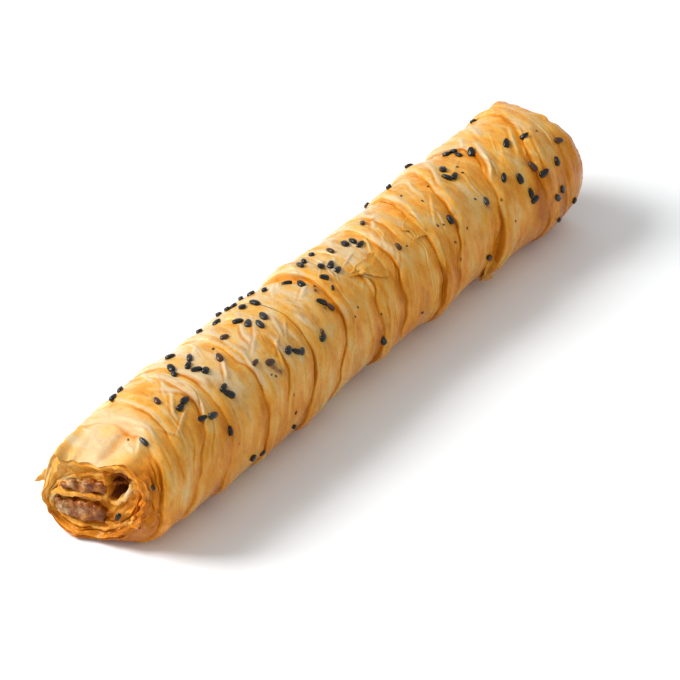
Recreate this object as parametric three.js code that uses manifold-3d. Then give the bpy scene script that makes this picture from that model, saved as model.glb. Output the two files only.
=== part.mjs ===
// A long borek: filo pastry rolled round a minced-meat filling. The sheet is wrinkled in overlapping
// bands, sprinkled with black seeds, and open at both ends, where the layers and the filling show.
// Millimetres, +Z up. The roll lies along X on its flattened underside, with its low near end at -X.

import * as THREE from "three";
import { mergeVertices } from "three/addons/utils/BufferGeometryUtils.js";
import Module from "manifold-3d";

const wasm = await Module();
wasm.setup();

// A table of { at, value } rows from pairs.
function rows(pairs) {
  return pairs.map(([at, value]) => ({ at, value }));
}

// The roll
const LENGTH = 214; // from open end to open end
const RADIUS = 19.3; // of the sheet between its folds
const AXIS_HEIGHT = 17.8; // of the roll's axis above the surface that it lies on
const SIDES = 28; // facets round the roll
const BAND_STEP = 5; // longest stretch between two rings of the skin

// How thick the roll is along its length, as a share of RADIUS at a place from the near end.
const GIRTH = [
  { at: 0, value: 0.98 },
  { at: 35, value: 1.02 },
  { at: 84, value: 1.01 },
  { at: 94, value: 0.95 },
  { at: 104, value: 0.97 },
  { at: 128, value: 0.94 },
  { at: 158, value: 0.985 },
  { at: 172, value: 0.945 },
  { at: 188, value: 1.01 },
  { at: 203, value: 1.03 },
  { at: LENGTH, value: 1.0 },
];

// How far the roll strays from a straight line, towards +Y.
const SWAY = [
  { at: 0, value: 0 },
  { at: 25, value: 0 },
  { at: 58, value: -0.5 },
  { at: 78, value: 0 },
  { at: 91, value: -0.5 },
  { at: 103, value: 0.7 },
  { at: 128, value: 0 },
  { at: 150, value: -0.6 },
  { at: 163, value: 0.7 },
  { at: 174, value: 0 },
  { at: 186, value: 0.4 },
  { at: 200, value: 0 },
];

// Each band's near edge overlaps the band before it: its place from the near end, how far its top and
// back lean to the far end, and how high the edge stands at the roll's low front and at its high back.
const FOLDS = [
  { at: 7.5, lean: 0, front: 1.6, back: 0.4 },
  { at: 15.5, lean: 0.5, front: 0.5, back: 0.5 },
  { at: 26.5, lean: 4.5, front: 0.8, back: 0.9 },
  { at: 37, lean: 0.5, front: 0.9, back: 1.1 },
  { at: 54.5, lean: -0.5, front: 1.0, back: 0.8 },
  { at: 64.5, lean: 2, front: 0.6, back: 0.8 },
  { at: 77, lean: 1, front: 0.9, back: 0.8 },
  { at: 93.5, lean: 4, front: 0.4, back: 2.6 },
  { at: 112.5, lean: 0, front: 1.4, back: 0.8 },
  { at: 125, lean: 0.5, front: 0.9, back: 0.7 },
  { at: 133, lean: 1, front: 0.4, back: 0.6 },
  { at: 144.5, lean: 3.5, front: 1.2, back: 1.7 },
  { at: 156.5, lean: 6.5, front: 0.8, back: 1.3 },
  { at: 173.5, lean: 3.7, front: 1.6, back: 1.6 },
  { at: 198, lean: 3.5, front: 0.9, back: 1.0 },
  { at: 207.5, lean: 1.5, front: 0.6, back: 0.6 },
];
const FRONT = -40; // degrees round the roll to the low front, where the bottom curves up to -Y
const FOLD_UNEVEN = 0.2; // share by which a fold's height changes again round the roll
const CREASE_BACK = 0.9; // from a fold's place back to the bottom of its crease
const CREASE_WIDTH = 0.8;
const CREASE_SHARE = 0.35; // depth of the crease as a share of the step
const EDGE_RISE = 0.5; // from a fold's place on to the top of its edge
const BAND_SHOULDER = 2.6; // from a fold's place on to where the band lies down again
const BAND_FALL = 6; // length over which a band sinks back to the roll

// The ends: near each opening the sheet is pressed down, drawn in towards the axis and set back from the
// opening, by rows of degrees round the roll and a depth. Pinch and turn are the lengths over which it is
// pressed down, and drawn in and set back. Middle is the height of the opening's middle, and wave is how
// far its rim strays.
const NEAR_END = {
  pinch: 9.5, turn: 5, middle: 13.5, wave: 0.5, ripples: 5,
  drops: rows([
    [0, 0], [30, 0.3], [60, 2.6], [90, 8.8], [112, 9.4], [126, 7], [150, 0.8], [180, 0], [360, 0],
  ]),
  drawnIn: rows([
    [0, 2.8], [45, 1], [90, 0], [185, 0], [222, -1.2], [255, 0.8], [282, 2.4], [320, 3.4], [360, 2.8],
  ]),
  setBack: rows([
    [0, 3], [45, 3.2], [90, 2], [120, 0.3], [150, -1.5], [185, -3], [215, -3.6], [240, -2], [270, 0.8],
    [300, 1.8], [360, 3],
  ]),
};
const FAR_END = {
  pinch: 8, turn: 6, middle: 16.4, wave: 0.5, ripples: 11,
  drops: rows([[0, 0], [45, 0.6], [90, 1.2], [120, 1.6], [150, 0.8], [180, 0], [360, 0]]),
  drawnIn: rows([[0, 0.9], [90, 0], [180, 0], [270, 0.8], [320, 1.2], [360, 0.9]]),
  setBack: rows([
    [0, 1], [45, 0.8], [60, 1.6], [75, 4], [95, 5], [120, 3.8], [150, 1.5], [180, 0.8], [270, 0], [360, 1],
  ]),
};
const NEAR_REACH = 4.5; // how far the near end stands out before the place that lengths are measured from
const LAYER_RINGS = 8; // rings from the rim to the middle of an end
const LAYER_GROOVE = 1.0; // depth of the gap between two layers
const END_DISH = 3.2; // how far the middle of an end lies behind its rim

// The filling: a band rolled up with the sheet, thick below and thin above, bent at -Y and open at +Y.
// The line along its middle, as places across and up from the middle of an end.
const FILLING_LINE = new THREE.SplineCurve(
  [
    [13.0, -5.3],
    [7.5, -4.1],
    [0.8, -3.4],
    [-2.4, -2.2],
    [-3.6, 0.8],
    [-2.4, 3.8],
    [0.8, 5.0],
    [4.5, 4.8],
    [8.5, 3.5],
  ].map(([across, up]) => new THREE.Vector2(across, up)),
);
const FILLING_THICK = { below: 3.5, above: 2.0 }; // half the band's thickness at its two ends
const TIP_SHARE = 0.6; // how far the band's tips reach past its line, as a share of its half thickness
const FILLING_POINTS = 15; // along each side of the band
const FILLING_STEPS = 12; // along the roll
const FILLING_BEHIND_RIM = 3.4; // how far its two faces lie inside the ends
const CLEARANCE = 0.3; // between the filling and the pastry

// Crumbs of mince that show on the filling's two faces.
const CRUMBS_PER_END = 12;
const CRUMB_SHARE = 0.78; // of the band's half thickness
const CRUMB_STAND = 0.3; // how far a crumb's middle stands out of the face, as a share of its radius
const CRUMB_JITTER = 0.4; // of the spacing between two crumbs
const CRUMB_STRETCH = { least: 0.8, most: 1.2 };

// The hollow where the roll gapes beside the filling at the near end.
const GAP = { depth: 12, halfWidth: 2.8, halfHeight: 4.0, y: -3.8, z: 19.0 };

// Seeds: each row has a seed's place from the near end, its degrees round the roll, and the degrees from
// the roll's length that it points to. More of them lie along the back.
const SEED = { length: 3.0, width: 1.8, thickness: 1.35, lift: 0.2 };
const SEEDS = [
  [4.2, 34, 95], [11.5, 67, 80], [22.8, 128, 20], [24.9, 85, 67], [28.1, 67.6, 10], [31, 69.8, 0],
  [27.5, 132, 30], [31.2, 49.6, -12], [34.6, 46.3, -8], [37.8, 27.4, 65], [38.1, 98, 55], [40, 104.5, 60],
  [43.4, 95, 25], [46.8, 101.5, 40], [43.3, 86.5, 155], [44.9, 80.6, 25], [44.1, 59, 20], [44.1, 52, 125],
  [45.5, 119, 0], [46.7, -14.6, -25], [52.5, -22, -35], [52.1, 82.6, 60], [58.9, 60, 10], [60.6, 96.6, -10],
  [62.5, 129, 40], [63.5, 52.6, -15], [66.7, -18, -45], [67.8, 122, 5], [69.4, 102, -25], [70.2, 93, 30],
  [71.7, 84, 70], [71.3, 51, 20], [73.6, 46, 130], [75.7, 43, 35], [72.8, 131, 40], [76.2, 130, 70],
  [79, 129, 30], [75.6, 88.4, 60], [76.5, 112, 25], [79.8, 106.5, 85], [85.3, 41, 10], [83.5, 132, 40],
  [86.8, 129, 20], [88.2, 116, 45], [93.9, 67, 130], [95.1, 58.5, 105], [94.4, 107, 150], [96, 94.5, 65],
  [102, 82, 120], [106, 92, 20], [108.8, 87, 35], [108.6, 79, 15], [102.8, 109, 60], [105.7, 110, 45],
  [111.1, 115, 60], [111.4, -5.4, 110], [114.6, 102, 80], [120.5, 100, 65], [122.9, 97, 75], [122.8, 88, 10],
  [130.6, 63, 80], [132.1, 107, 45], [152.6, 54.4, 65], [154, 128, 50], [164.8, -7, 140], [165.4, 85, 100],
  [168.2, 95.5, 45], [167.8, 81.5, 25], [169.4, 46, 60], [178, 115, 20], [180.1, 112.5, 80], [178.4, 102, 85],
  [181.7, 94.4, 35], [180.6, 53.6, 45], [185.3, 43.6, 85], [186.7, 27, 85], [187.4, 20, 20], [191.2, 76, 40],
  [192.1, 46, 95], [193.6, 36.4, 10], [197.4, 70.6, -15], [197.1, 8, 120], [200, 12, 105], [201.4, 37.4, 60],
  [199.8, -21, 135], [207.3, 51, -25],
];
const BACK_SEEDS = { count: 14, from: 18, to: 200, lowest: 174, highest: 138 };
const RANDOM_START = 20;
const LEAN_ROUNDS = 8; // of the search for a seed's place on the leaning folds

// The pointed flake that stands out of the near rim: the middle of its root, and its tip.
const FLAKE = {
  root: [0.6, 16.4, 18.6], tip: [-4.5, 20.1, 16.4], halfWidth: 2.3, halfThickness: 0.7, sides: 6,
};

const PASTRY_LOOK = { color: 0xdba24f, roughness: 0.5, metalness: 0 };
const FILLING_LOOK = { color: 0x7a4a2a, roughness: 0.6, metalness: 0 };

const GOLDEN_ANGLE = Math.PI * (3 - Math.sqrt(5));
const HALF_TURN = 180;
const FULL_TURN = 360;
const MERGE_DISTANCE = 1e-4; // corners of a solid closer than this are one
const radians = THREE.MathUtils.degToRad;

// Repeatable random numbers from 0 to 1.
function randomSource(start) {
  let state = start;
  return () => {
    state = (state + 0x6d2b79f5) | 0;
    let mixed = Math.imul(state ^ (state >>> 15), 1 | state);
    mixed = (mixed + Math.imul(mixed ^ (mixed >>> 7), 61 | mixed)) ^ mixed;
    return ((mixed ^ (mixed >>> 14)) >>> 0) / 4294967296;
  };
}

// The value of a table of { at, value } rows at x, eased from row to row.
function eased(rows, x) {
  const next = rows.findIndex((row) => row.at > x);
  if (next === 0) return rows[0].value;
  if (next < 0) return rows[rows.length - 1].value;
  const before = rows[next - 1];
  const share = THREE.MathUtils.smoothstep(x, before.at, rows[next].at);
  return THREE.MathUtils.lerp(before.value, rows[next].value, share);
}

const LEANS = [
  { at: 0, value: 0 },
  ...FOLDS.map((fold) => ({ at: fold.at, value: fold.lean })),
  { at: LENGTH, value: 0 },
];

// How much a place round the roll belongs to its low front: 1 there and 0 at the high back.
function frontShare(angle) {
  return (1 + Math.cos(angle - radians(FRONT))) / 2;
}

// Height of the sheet over the plain roll, at x from the near end before the folds lean.
function foldRelief(x, angle) {
  return FOLDS.reduce((height, fold, index) => {
    const past = x - fold.at;
    const uneven = 1 + FOLD_UNEVEN * Math.sin(2 * angle + index * GOLDEN_ANGLE);
    const step = uneven * THREE.MathUtils.lerp(fold.back, fold.front, frontShare(angle));
    const rise = THREE.MathUtils.smoothstep(past, -CREASE_BACK, EDGE_RISE);
    const fall = Math.exp(-Math.max(past, 0) / BAND_FALL);
    const crease = CREASE_SHARE * Math.exp(-(((past + CREASE_BACK) / CREASE_WIDTH) ** 2));
    return height + step * (rise * fall - crease);
  }, 0);
}

// How a place near an end is moved: down on top, in towards the axis, and back from the opening.
function endShape(end, fromEnd, angle) {
  const pinch = Math.exp(-((fromEnd / end.pinch) ** 2));
  const turn = Math.exp(-((fromEnd / end.turn) ** 2));
  const degrees = THREE.MathUtils.euclideanModulo(THREE.MathUtils.radToDeg(angle), FULL_TURN);
  return {
    drop: pinch * eased(end.drops, degrees),
    round: turn * eased(end.drawnIn, degrees),
    setBack: turn * eased(end.setBack, degrees),
  };
}

// A point of the skin. Angle 0 is the side at -Y, and a quarter turn is the top.
function skinPoint(x, angle) {
  const up = Math.sin(angle);
  const across = -Math.cos(angle);
  const near = endShape(NEAR_END, x, angle);
  const far = endShape(FAR_END, LENGTH - x, angle);
  const radius = RADIUS * eased(GIRTH, x) + foldRelief(x, angle) - near.round - far.round;
  return new THREE.Vector3(
    x + eased(LEANS, x) * (up + across) + near.setBack - far.setBack,
    across * radius + eased(SWAY, x),
    Math.max(AXIS_HEIGHT + up * radius - near.drop - far.drop, 0),
  );
}

// Places of the rings along the skin: a crease, an edge and a shoulder at each fold, and even steps between.
function ringPlaces() {
  const wanted = FOLDS.flatMap(({ at }) => [at - CREASE_BACK, at + EDGE_RISE, at + BAND_SHOULDER]);
  const marks = [0, ...wanted, LENGTH];
  const places = marks.slice(0, -1).flatMap((mark, index) => {
    const reach = marks[index + 1] - mark;
    const steps = Math.ceil(reach / BAND_STEP);
    return Array.from({ length: steps }, (_, step) => mark + (reach * step) / steps);
  });
  return [...places, LENGTH];
}
const RING_PLACES = ringPlaces();

// The rim of an end: the skin's last ring with a wavy edge.
function rimPoint(end, x, angle) {
  const point = skinPoint(x, angle);
  point.x += end.wave * Math.sin(end.ripples * angle) * Math.sin(2 * angle + 1);
  return point;
}

// A ring of an end's face: share 1 is the rim and 0 the middle. Every second ring lies in a groove.
function layerPoint(end, x, inward, ring, angle) {
  const share = 1 - ring / LAYER_RINGS;
  const middle = new THREE.Vector3(x, 0, end.middle);
  const point = middle.lerp(rimPoint(end, x, angle), share);
  const groove = ring % 2 === 1 && share > 0 ? LAYER_GROOVE : 0;
  point.x += inward * (END_DISH * (1 - share ** 2) + groove);
  return point;
}

// One row for each ring of the whole roll, from the middle of the near end to the middle of the far end.
function rollRows() {
  const rings = Array.from({ length: LAYER_RINGS }, (_, index) => index + 1);
  const nearFace = rings.toReversed().map((ring) => (angle) => layerPoint(NEAR_END, 0, 1, ring, angle));
  const farFace = rings.map((ring) => (angle) => layerPoint(FAR_END, LENGTH, -1, ring, angle));
  const skin = RING_PLACES.slice(1, -1).map((x) => (angle) => skinPoint(x, angle));
  return [
    ...nearFace,
    (angle) => rimPoint(NEAR_END, 0, angle),
    ...skin,
    (angle) => rimPoint(FAR_END, LENGTH, angle),
    ...farFace,
  ];
}

// A lathe whose every ring is moved to its row of the roll.
function rollGeometry() {
  const rows = rollRows();
  const profile = rows.map((_, index) => {
    const onAxis = index === 0 || index === rows.length - 1;
    return new THREE.Vector2(onAxis ? 0 : RADIUS, index);
  });
  const geometry = new THREE.LatheGeometry(profile, SIDES);
  const position = geometry.getAttribute("position");
  for (let index = 0; index < position.count; index += 1) {
    const side = (SIDES - Math.floor(index / rows.length)) % SIDES;
    const point = rows[index % rows.length]((side / SIDES) * 2 * Math.PI);
    position.setXYZ(index, point.x, point.y, point.z);
  }
  return geometry;
}

// Height of the filling's middle at a place along the roll: low at the near end, near the axis inside.
function fillingHeight(x) {
  const inside = THREE.MathUtils.smoothstep(x, 0, LENGTH / 3);
  return THREE.MathUtils.lerp(NEAR_END.middle, FAR_END.middle, inside);
}

function fillingHalfThickness(share) {
  return THREE.MathUtils.lerp(FILLING_THICK.below, FILLING_THICK.above, share);
}

// A point beside the line along the middle of the band, offset towards the inside of its bend.
function bandPoint(share, offset) {
  const { x, y } = FILLING_LINE.getTangentAt(share);
  return FILLING_LINE.getPointAt(share).addScaledVector(new THREE.Vector2(y, -x), offset);
}

// The rounded tip at one end of the band.
function bandTip(share, margin) {
  const outward = FILLING_LINE.getTangentAt(share).multiplyScalar(share === 0 ? -1 : 1);
  return bandPoint(share, 0).addScaledVector(outward, TIP_SHARE * fillingHalfThickness(share) + margin);
}

// Outline of the rolled-up band, grown all round by a margin.
function bandShape(margin) {
  const shares = Array.from({ length: FILLING_POINTS }, (_, index) => index / (FILLING_POINTS - 1));
  const outer = shares.map((share) => bandPoint(share, -fillingHalfThickness(share) - margin));
  const inner = shares.map((share) => bandPoint(share, fillingHalfThickness(share) + margin));
  return new THREE.Shape([...outer, bandTip(1, margin), ...inner.toReversed(), bandTip(0, margin)]);
}

// The band as a bar along the roll, following the filling's height, longer by some steps at each end.
function bandGeometry(extraSteps, margin) {
  const step = (LENGTH - 2 * FILLING_BEHIND_RIM) / FILLING_STEPS;
  const from = FILLING_BEHIND_RIM - extraSteps * step;
  const steps = FILLING_STEPS + 2 * extraSteps;
  const bar = new THREE.ExtrudeGeometry(bandShape(margin), {
    depth: steps * step,
    steps,
    bevelEnabled: false,
  });
  const position = bar.getAttribute("position");
  for (let index = 0; index < position.count; index += 1) {
    const x = from + position.getZ(index);
    position.setXYZ(index, x, position.getX(index), position.getY(index) + fillingHeight(x));
  }
  return bar;
}

// Whether a crumb would reach into the gap.
function reachesGap(x, place, radius) {
  const across = Math.abs(place.x - GAP.y) < GAP.halfWidth + radius;
  const up = Math.abs(place.y - GAP.z) < GAP.halfHeight + radius;
  return x < GAP.depth && across && up;
}

// Low crumbs of mince along the band's middle line, on the faces at the two ends.
function crumbGeometries() {
  const random = randomSource(RANDOM_START + 1);
  const faces = [FILLING_BEHIND_RIM, LENGTH - FILLING_BEHIND_RIM];
  const crumbs = faces.flatMap((x) =>
    Array.from({ length: CRUMBS_PER_END }, (_, index) => {
      const share = (index + 0.5 + CRUMB_JITTER * (random() - 0.5)) / CRUMBS_PER_END;
      const radius = CRUMB_SHARE * fillingHalfThickness(share);
      const place = bandPoint(share, 0).add(new THREE.Vector2(0, fillingHeight(x)));
      const stretch = THREE.MathUtils.lerp(CRUMB_STRETCH.least, CRUMB_STRETCH.most, random());
      return { x, place, radius, turn: random() * Math.PI, stretch };
    }),
  );
  return crumbs
    .filter(({ x, place, radius }) => !reachesGap(x, place, radius))
    .map(({ x, place, radius, turn, stretch }) => {
      const outward = x < LENGTH / 2 ? -1 : 1;
      return new THREE.IcosahedronGeometry(radius, 0)
        .rotateX(turn)
        .rotateZ(turn)
        .scale(stretch, 1, 1)
        .translate(x + outward * CRUMB_STAND * radius, place.x, place.y);
    });
}

function gapGeometry() {
  return new THREE.SphereGeometry(1, 10, 8)
    .scale(GAP.depth, GAP.halfWidth, GAP.halfHeight)
    .translate(0, GAP.y, GAP.z);
}

// The place along the skin before its folds lean, for a place from the near end after they do.
function beforeLean(x, angle) {
  const reach = Math.sin(angle) - Math.cos(angle);
  let place = x;
  for (let round = 0; round < LEAN_ROUNDS; round += 1) place = x - eased(LEANS, place) * reach;
  return place;
}

// Places of the seeds on the skin: x along it, angle round it, and the way the seed points.
function seedPlaces() {
  const random = randomSource(RANDOM_START);
  const { count, from, to, lowest, highest } = BACK_SEEDS;
  const back = Array.from({ length: count }, (_, seed) => [
    THREE.MathUtils.lerp(from, to, (seed + random()) / count),
    THREE.MathUtils.lerp(highest, lowest, random()),
    HALF_TURN * random(),
  ]);
  return [...SEEDS, ...back].map(([at, degrees, turn]) => {
    const angle = radians(degrees);
    return { x: beforeLean(at, angle), angle, turn: radians(turn) };
  });
}

// The point on the facets at a place on the roll, and the two directions along the facet there.
function facetAt(x, angle) {
  const ring = RING_PLACES.findIndex((place) => place > x) - 1;
  const side = Math.floor((angle / (2 * Math.PI)) * SIDES);
  const corner = (step, turn) =>
    skinPoint(RING_PLACES[ring + step], ((side + turn) / SIDES) * 2 * Math.PI);
  const along = (x - RING_PLACES[ring]) / (RING_PLACES[ring + 1] - RING_PLACES[ring]);
  const round = (angle / (2 * Math.PI)) * SIDES - side;
  const near = corner(0, 0).lerp(corner(0, 1), round);
  const far = corner(1, 0).lerp(corner(1, 1), round);
  return {
    point: near.clone().lerp(far, along),
    along: far.sub(near).normalize(),
    round: corner(0, 1).sub(corner(0, 0)).normalize(),
  };
}

// A seed lying on the skin, half sunk in the glaze.
function seedGeometry({ x, angle, turn }) {
  const { point, along, round } = facetAt(x, angle);
  const out = along.clone().cross(round).normalize();
  const lie = new THREE.Matrix4().makeBasis(along, out.clone().cross(along), out);
  const place = point.addScaledVector(out, SEED.lift);
  return new THREE.OctahedronGeometry(1, 1)
    .scale(SEED.length / 2, SEED.width / 2, SEED.thickness / 2)
    .rotateZ(turn)
    .applyMatrix4(lie)
    .translate(place.x, place.y, place.z);
}

// The flake, as a flattened cone from its root to its tip.
function flakeGeometry() {
  const root = new THREE.Vector3(...FLAKE.root);
  const tip = new THREE.Vector3(...FLAKE.tip);
  const length = tip.distanceTo(root);
  return new THREE.ConeGeometry(1, length, FLAKE.sides)
    .rotateX(Math.PI / 2)
    .translate(0, 0, length / 2)
    .scale(FLAKE.halfThickness, FLAKE.halfWidth, 1)
    .applyMatrix4(new THREE.Matrix4().lookAt(tip, root, new THREE.Vector3(0, 0, 1)))
    .translate(root.x, root.y, root.z);
}

// A closed geometry as a solid that can be joined and cut.
function solidOf(geometry) {
  const bare = new THREE.BufferGeometry();
  bare.setAttribute("position", geometry.getAttribute("position"));
  bare.setIndex(geometry.index);
  const merged = mergeVertices(bare, MERGE_DISTANCE);
  const corners = merged.index.array;
  const triVerts = [];
  for (let index = 0; index < corners.length; index += 3) {
    const [a, b, c] = corners.slice(index, index + 3);
    if (a !== b && b !== c && c !== a) triVerts.push(a, b, c);
  }
  return new wasm.Manifold(
    new wasm.Mesh({
      numProp: 3,
      vertProperties: merged.getAttribute("position").array,
      triVerts: new Uint32Array(triVerts),
    }),
  );
}

function joined(solid, geometries) {
  return geometries.reduce((whole, geometry) => whole.add(solidOf(geometry)), solid);
}

function meshOf(name, solid, look) {
  const { vertProperties, triVerts } = solid.getMesh();
  const geometry = new THREE.BufferGeometry();
  geometry.setAttribute("position", new THREE.BufferAttribute(vertProperties, 3));
  geometry.setIndex(new THREE.BufferAttribute(triVerts, 1));
  const mesh = new THREE.Mesh(geometry, new THREE.MeshStandardMaterial(look));
  mesh.name = name;
  mesh.position.x = (NEAR_REACH - LENGTH) / 2;
  return mesh;
}

const gap = solidOf(gapGeometry());
const fillingWay = solidOf(bandGeometry(1, CLEARANCE));
const pastry = joined(
  solidOf(rollGeometry()).subtract(fillingWay).subtract(gap),
  [flakeGeometry(), ...seedPlaces().map(seedGeometry)],
);
const filling = joined(
  solidOf(bandGeometry(0, 0)),
  crumbGeometries(),
).subtract(gap);

const borek = new THREE.Group();
borek.name = "borek";
borek.add(meshOf("pastry", pastry, PASTRY_LOOK));
borek.add(meshOf("filling", filling, FILLING_LOOK));

export default borek;
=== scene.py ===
# Borek: a baked roll of ruched filo round a mince filling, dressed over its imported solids.
import math

import bpy
import numpy as np
from mathutils import Matrix, Vector


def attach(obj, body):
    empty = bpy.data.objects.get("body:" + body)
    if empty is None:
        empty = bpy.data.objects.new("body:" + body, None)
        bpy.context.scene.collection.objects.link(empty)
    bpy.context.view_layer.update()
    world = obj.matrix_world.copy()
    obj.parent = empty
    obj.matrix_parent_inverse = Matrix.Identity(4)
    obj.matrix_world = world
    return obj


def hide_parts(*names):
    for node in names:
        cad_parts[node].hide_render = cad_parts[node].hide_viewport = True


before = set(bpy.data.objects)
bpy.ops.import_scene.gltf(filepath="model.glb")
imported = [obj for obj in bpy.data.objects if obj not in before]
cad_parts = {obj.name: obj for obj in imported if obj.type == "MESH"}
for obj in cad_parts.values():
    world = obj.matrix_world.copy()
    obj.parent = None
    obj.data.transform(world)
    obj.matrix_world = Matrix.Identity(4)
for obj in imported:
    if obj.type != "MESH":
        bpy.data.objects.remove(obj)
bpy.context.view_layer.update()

# Roll, in millimetres. Places along it run from the near end, turns from the front side over the top.
MILLIMETRE = 0.001
LENGTH = 214.0
RADIUS = 19.2
AXIS_HEIGHT = 17.8
MIDDLE = 104.75
GIRTH = [(0, 0.98), (35, 1.02), (84, 1.01), (94, 0.95), (104, 0.97), (128, 0.94), (158, 0.985), (172, 0.945),
         (188, 1.01), (203, 1.03), (214, 1.0)]
SWAY = [(0, 0), (25, 0), (58, -0.5), (78, 0), (91, -0.5), (103, 0.7), (128, 0), (150, -0.6), (163, 0.7),
        (174, 0), (186, 0.4), (200, 0)]

# Folds of the outer sheet: place, then line (turn, place) and rise (turn, height) round the roll.
FOLDS = [
    (7.5,
     [(-40, 6.5), (-14, 6), (7, 6), (22, 7), (33, 8.2), (49, 9.6), (60, 10.3), (75, 12), (90, 13),
      (120, 13.5), (141, 12.5), (200, 9), (260, 7)],
     [(-40, 1.4), (-10, 2.4), (30, 2.4), (50, 1.7), (65, 0.8), (90, 0.6), (120, 0.7), (200, 0.5),
      (270, 0.6)]),
    (15.5,
     [(-40, 14.5), (0, 14), (30, 16), (60, 18.6), (90, 20), (120, 21.3), (141, 19), (200, 16), (260, 14.5)],
     [(-40, 0.3), (0, 0.15), (40, 0.35), (60, 0.6), (90, 0.7), (120, 0.7), (141, 0.6), (200, 0.5),
      (270, 0.5)]),
    (26.5,
     [(-40, 18.9), (-15, 19), (0, 20.5), (12, 22.5), (23, 24.4), (36, 29.2), (50, 31.2), (65, 33), (90, 33.5),
      (120, 33.2), (141, 32.8), (200, 29.2), (260, 22.9)],
     [(-40, 0.8), (0, 0.8), (30, 0.9), (50, 0.9), (65, 0.7), (90, 0.6), (120, 0.8), (141, 0.9), (200, 0.9),
      (270, 0.8)]),
    (37,
     [(-40, 34.5), (-17, 33.7), (0, 36), (17, 37.8), (39, 38.6), (65, 38.9), (90, 39), (120, 38.6),
      (141, 37.7), (200, 37.3), (260, 36.6)],
     [(-40, 0.9), (0, 1.0), (40, 0.9), (70, 0.6), (100, 0.8), (141, 1.1), (200, 1.1), (270, 1.0)]),
    (54.5,
     [(-40, 53.5), (-9, 52.8), (9, 54), (25, 55), (41, 56.6), (59, 56.3), (67, 55.3), (83, 56.2), (105, 57.5),
      (141, 56), (200, 54.2), (260, 54.5)],
     [(-40, 1.5), (0, 1.3), (40, 1.0), (65, 0.6), (90, 0.6), (141, 0.9), (200, 0.8), (270, 0.9)]),
    (64.5,
     [(-40, 61.7), (7, 62.8), (17, 63.6), (33, 67), (51, 68.5), (70, 69.4), (90, 70), (120, 68.6),
      (141, 67.3), (200, 65.7), (260, 62.9)],
     [(-40, 0.6), (10, 0.6), (33, 0.7), (51, 0.6), (75, 0.5), (100, 0.7), (141, 0.8), (200, 0.8),
      (270, 0.7)]),
    (77,
     [(-40, 73.5), (-13, 73.6), (1, 75.7), (17, 77.5), (31, 79.5), (50, 80.5), (75, 81), (100, 80.4),
      (141, 78.4), (200, 77.6), (260, 76.2)],
     [(-40, 1.5), (0, 1.2), (30, 0.8), (45, 0.4), (75, 0.3), (100, 0.5), (141, 0.8), (200, 0.8), (270, 0.8)]),
    (93.5,
     [(-40, 87.9), (-3, 89.3), (7, 89.7), (25, 94.2), (41, 97), (59, 97.3), (75, 99), (90, 99.6), (120, 99.4),
      (141, 99.1), (200, 95.9), (260, 90.3)],
     [(-40, 0.9), (0, 0.9), (25, 0.9), (41, 1.1), (59, 1.0), (75, 1.0), (100, 1.5), (120, 2.6), (141, 3.3),
      (200, 2.4), (260, 1.2)]),
    (112.5,
     [(-40, 112.2), (0, 111.5), (37, 112.6), (45, 114.5), (61, 113), (75, 113.5), (100, 113.4), (141, 112.5),
      (200, 112.5), (260, 112.5)],
     [(-40, 1.4), (0, 1.2), (37, 0.7), (61, 0.5), (75, 0.4), (100, 0.5), (141, 0.8), (200, 0.8), (270, 1.1)]),
    (125,
     [(-40, 123.5), (-13, 121), (1, 122.4), (25, 123.1), (37, 124.4), (55, 126), (75, 126.3), (90, 127.2),
      (120, 128), (141, 126.5), (200, 125.3), (260, 124.6)],
     [(-40, 0.3), (0, 0.9), (40, 0.9), (75, 0.8), (95, 0.8), (141, 1.7), (200, 1.2), (270, 0.5)]),
    (133,
     [(-40, 131.6), (0, 132.5), (30, 133.5), (49, 136), (61, 134.1), (87, 134.8), (110, 134.8), (141, 134.4),
      (200, 133.6), (260, 132.2)],
     [(-40, 0.15), (0, 0.3), (30, 0.25), (49, 0.4), (61, 0.6), (90, 0.6), (141, 0.6), (200, 0.6),
      (270, 0.3)]),
    (144.5,
     [(-40, 139.6), (5, 140.3), (33, 141), (61, 142), (83, 143.1), (105, 146), (120, 148), (141, 149.4),
      (200, 146.6), (260, 141.7)],
     [(-40, 1.1), (0, 1.4), (40, 1.3), (65, 1.0), (90, 1.1), (120, 1.8), (141, 2.5), (200, 1.8), (270, 1.2)]),
    (156.5,
     [(-40, 147.3), (0, 148.1), (15, 148.1), (29, 151), (49, 154.1), (71, 156.6), (89, 159), (105, 161.5),
      (121, 164.2), (141, 165.6), (200, 160.4), (260, 151.2)],
     [(-40, 0.2), (0, 0.6), (15, 0.9), (30, 1.1), (60, 1.2), (90, 1.2), (141, 1.9), (200, 1.4), (270, 0.6)]),
    (173.5,
     [(-40, 168.3), (-13, 170.8), (7, 171.5), (27, 173), (45, 175.4), (69, 177.2), (75, 179), (91, 181.5),
      (120, 181), (141, 179.5), (200, 175.7), (260, 170.5)],
     [(-40, 1.6), (0, 1.8), (30, 1.4), (60, 1.1), (90, 1.3), (120, 1.6), (141, 1.9), (200, 1.6), (270, 1.6)]),
    (198,
     [(-40, 194.5), (-13, 194), (5, 192), (17, 192), (39, 192.3), (55, 194), (67, 196.4), (71, 198),
      (91, 200.8), (111, 203), (141, 203), (200, 200.1), (260, 195.2)],
     [(-40, 1.0), (0, 1.0), (30, 1.1), (60, 1.1), (90, 0.9), (141, 1.0), (200, 1.0), (270, 1.0)]),
    (207.5,
     [(-40, 205.4), (5, 202.3), (20, 201.8), (45, 203.5), (75, 206), (100, 207.5), (141, 208.5), (200, 208),
      (260, 206)],
     [(-40, 0.6), (5, 0.7), (25, 0.4), (45, 0.2), (75, 0.2), (100, 0.3), (141, 0.5), (200, 0.6), (270, 0.6)]),
]
BAND_FALL = 6.0
CRUMPLE = 0.36
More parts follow.
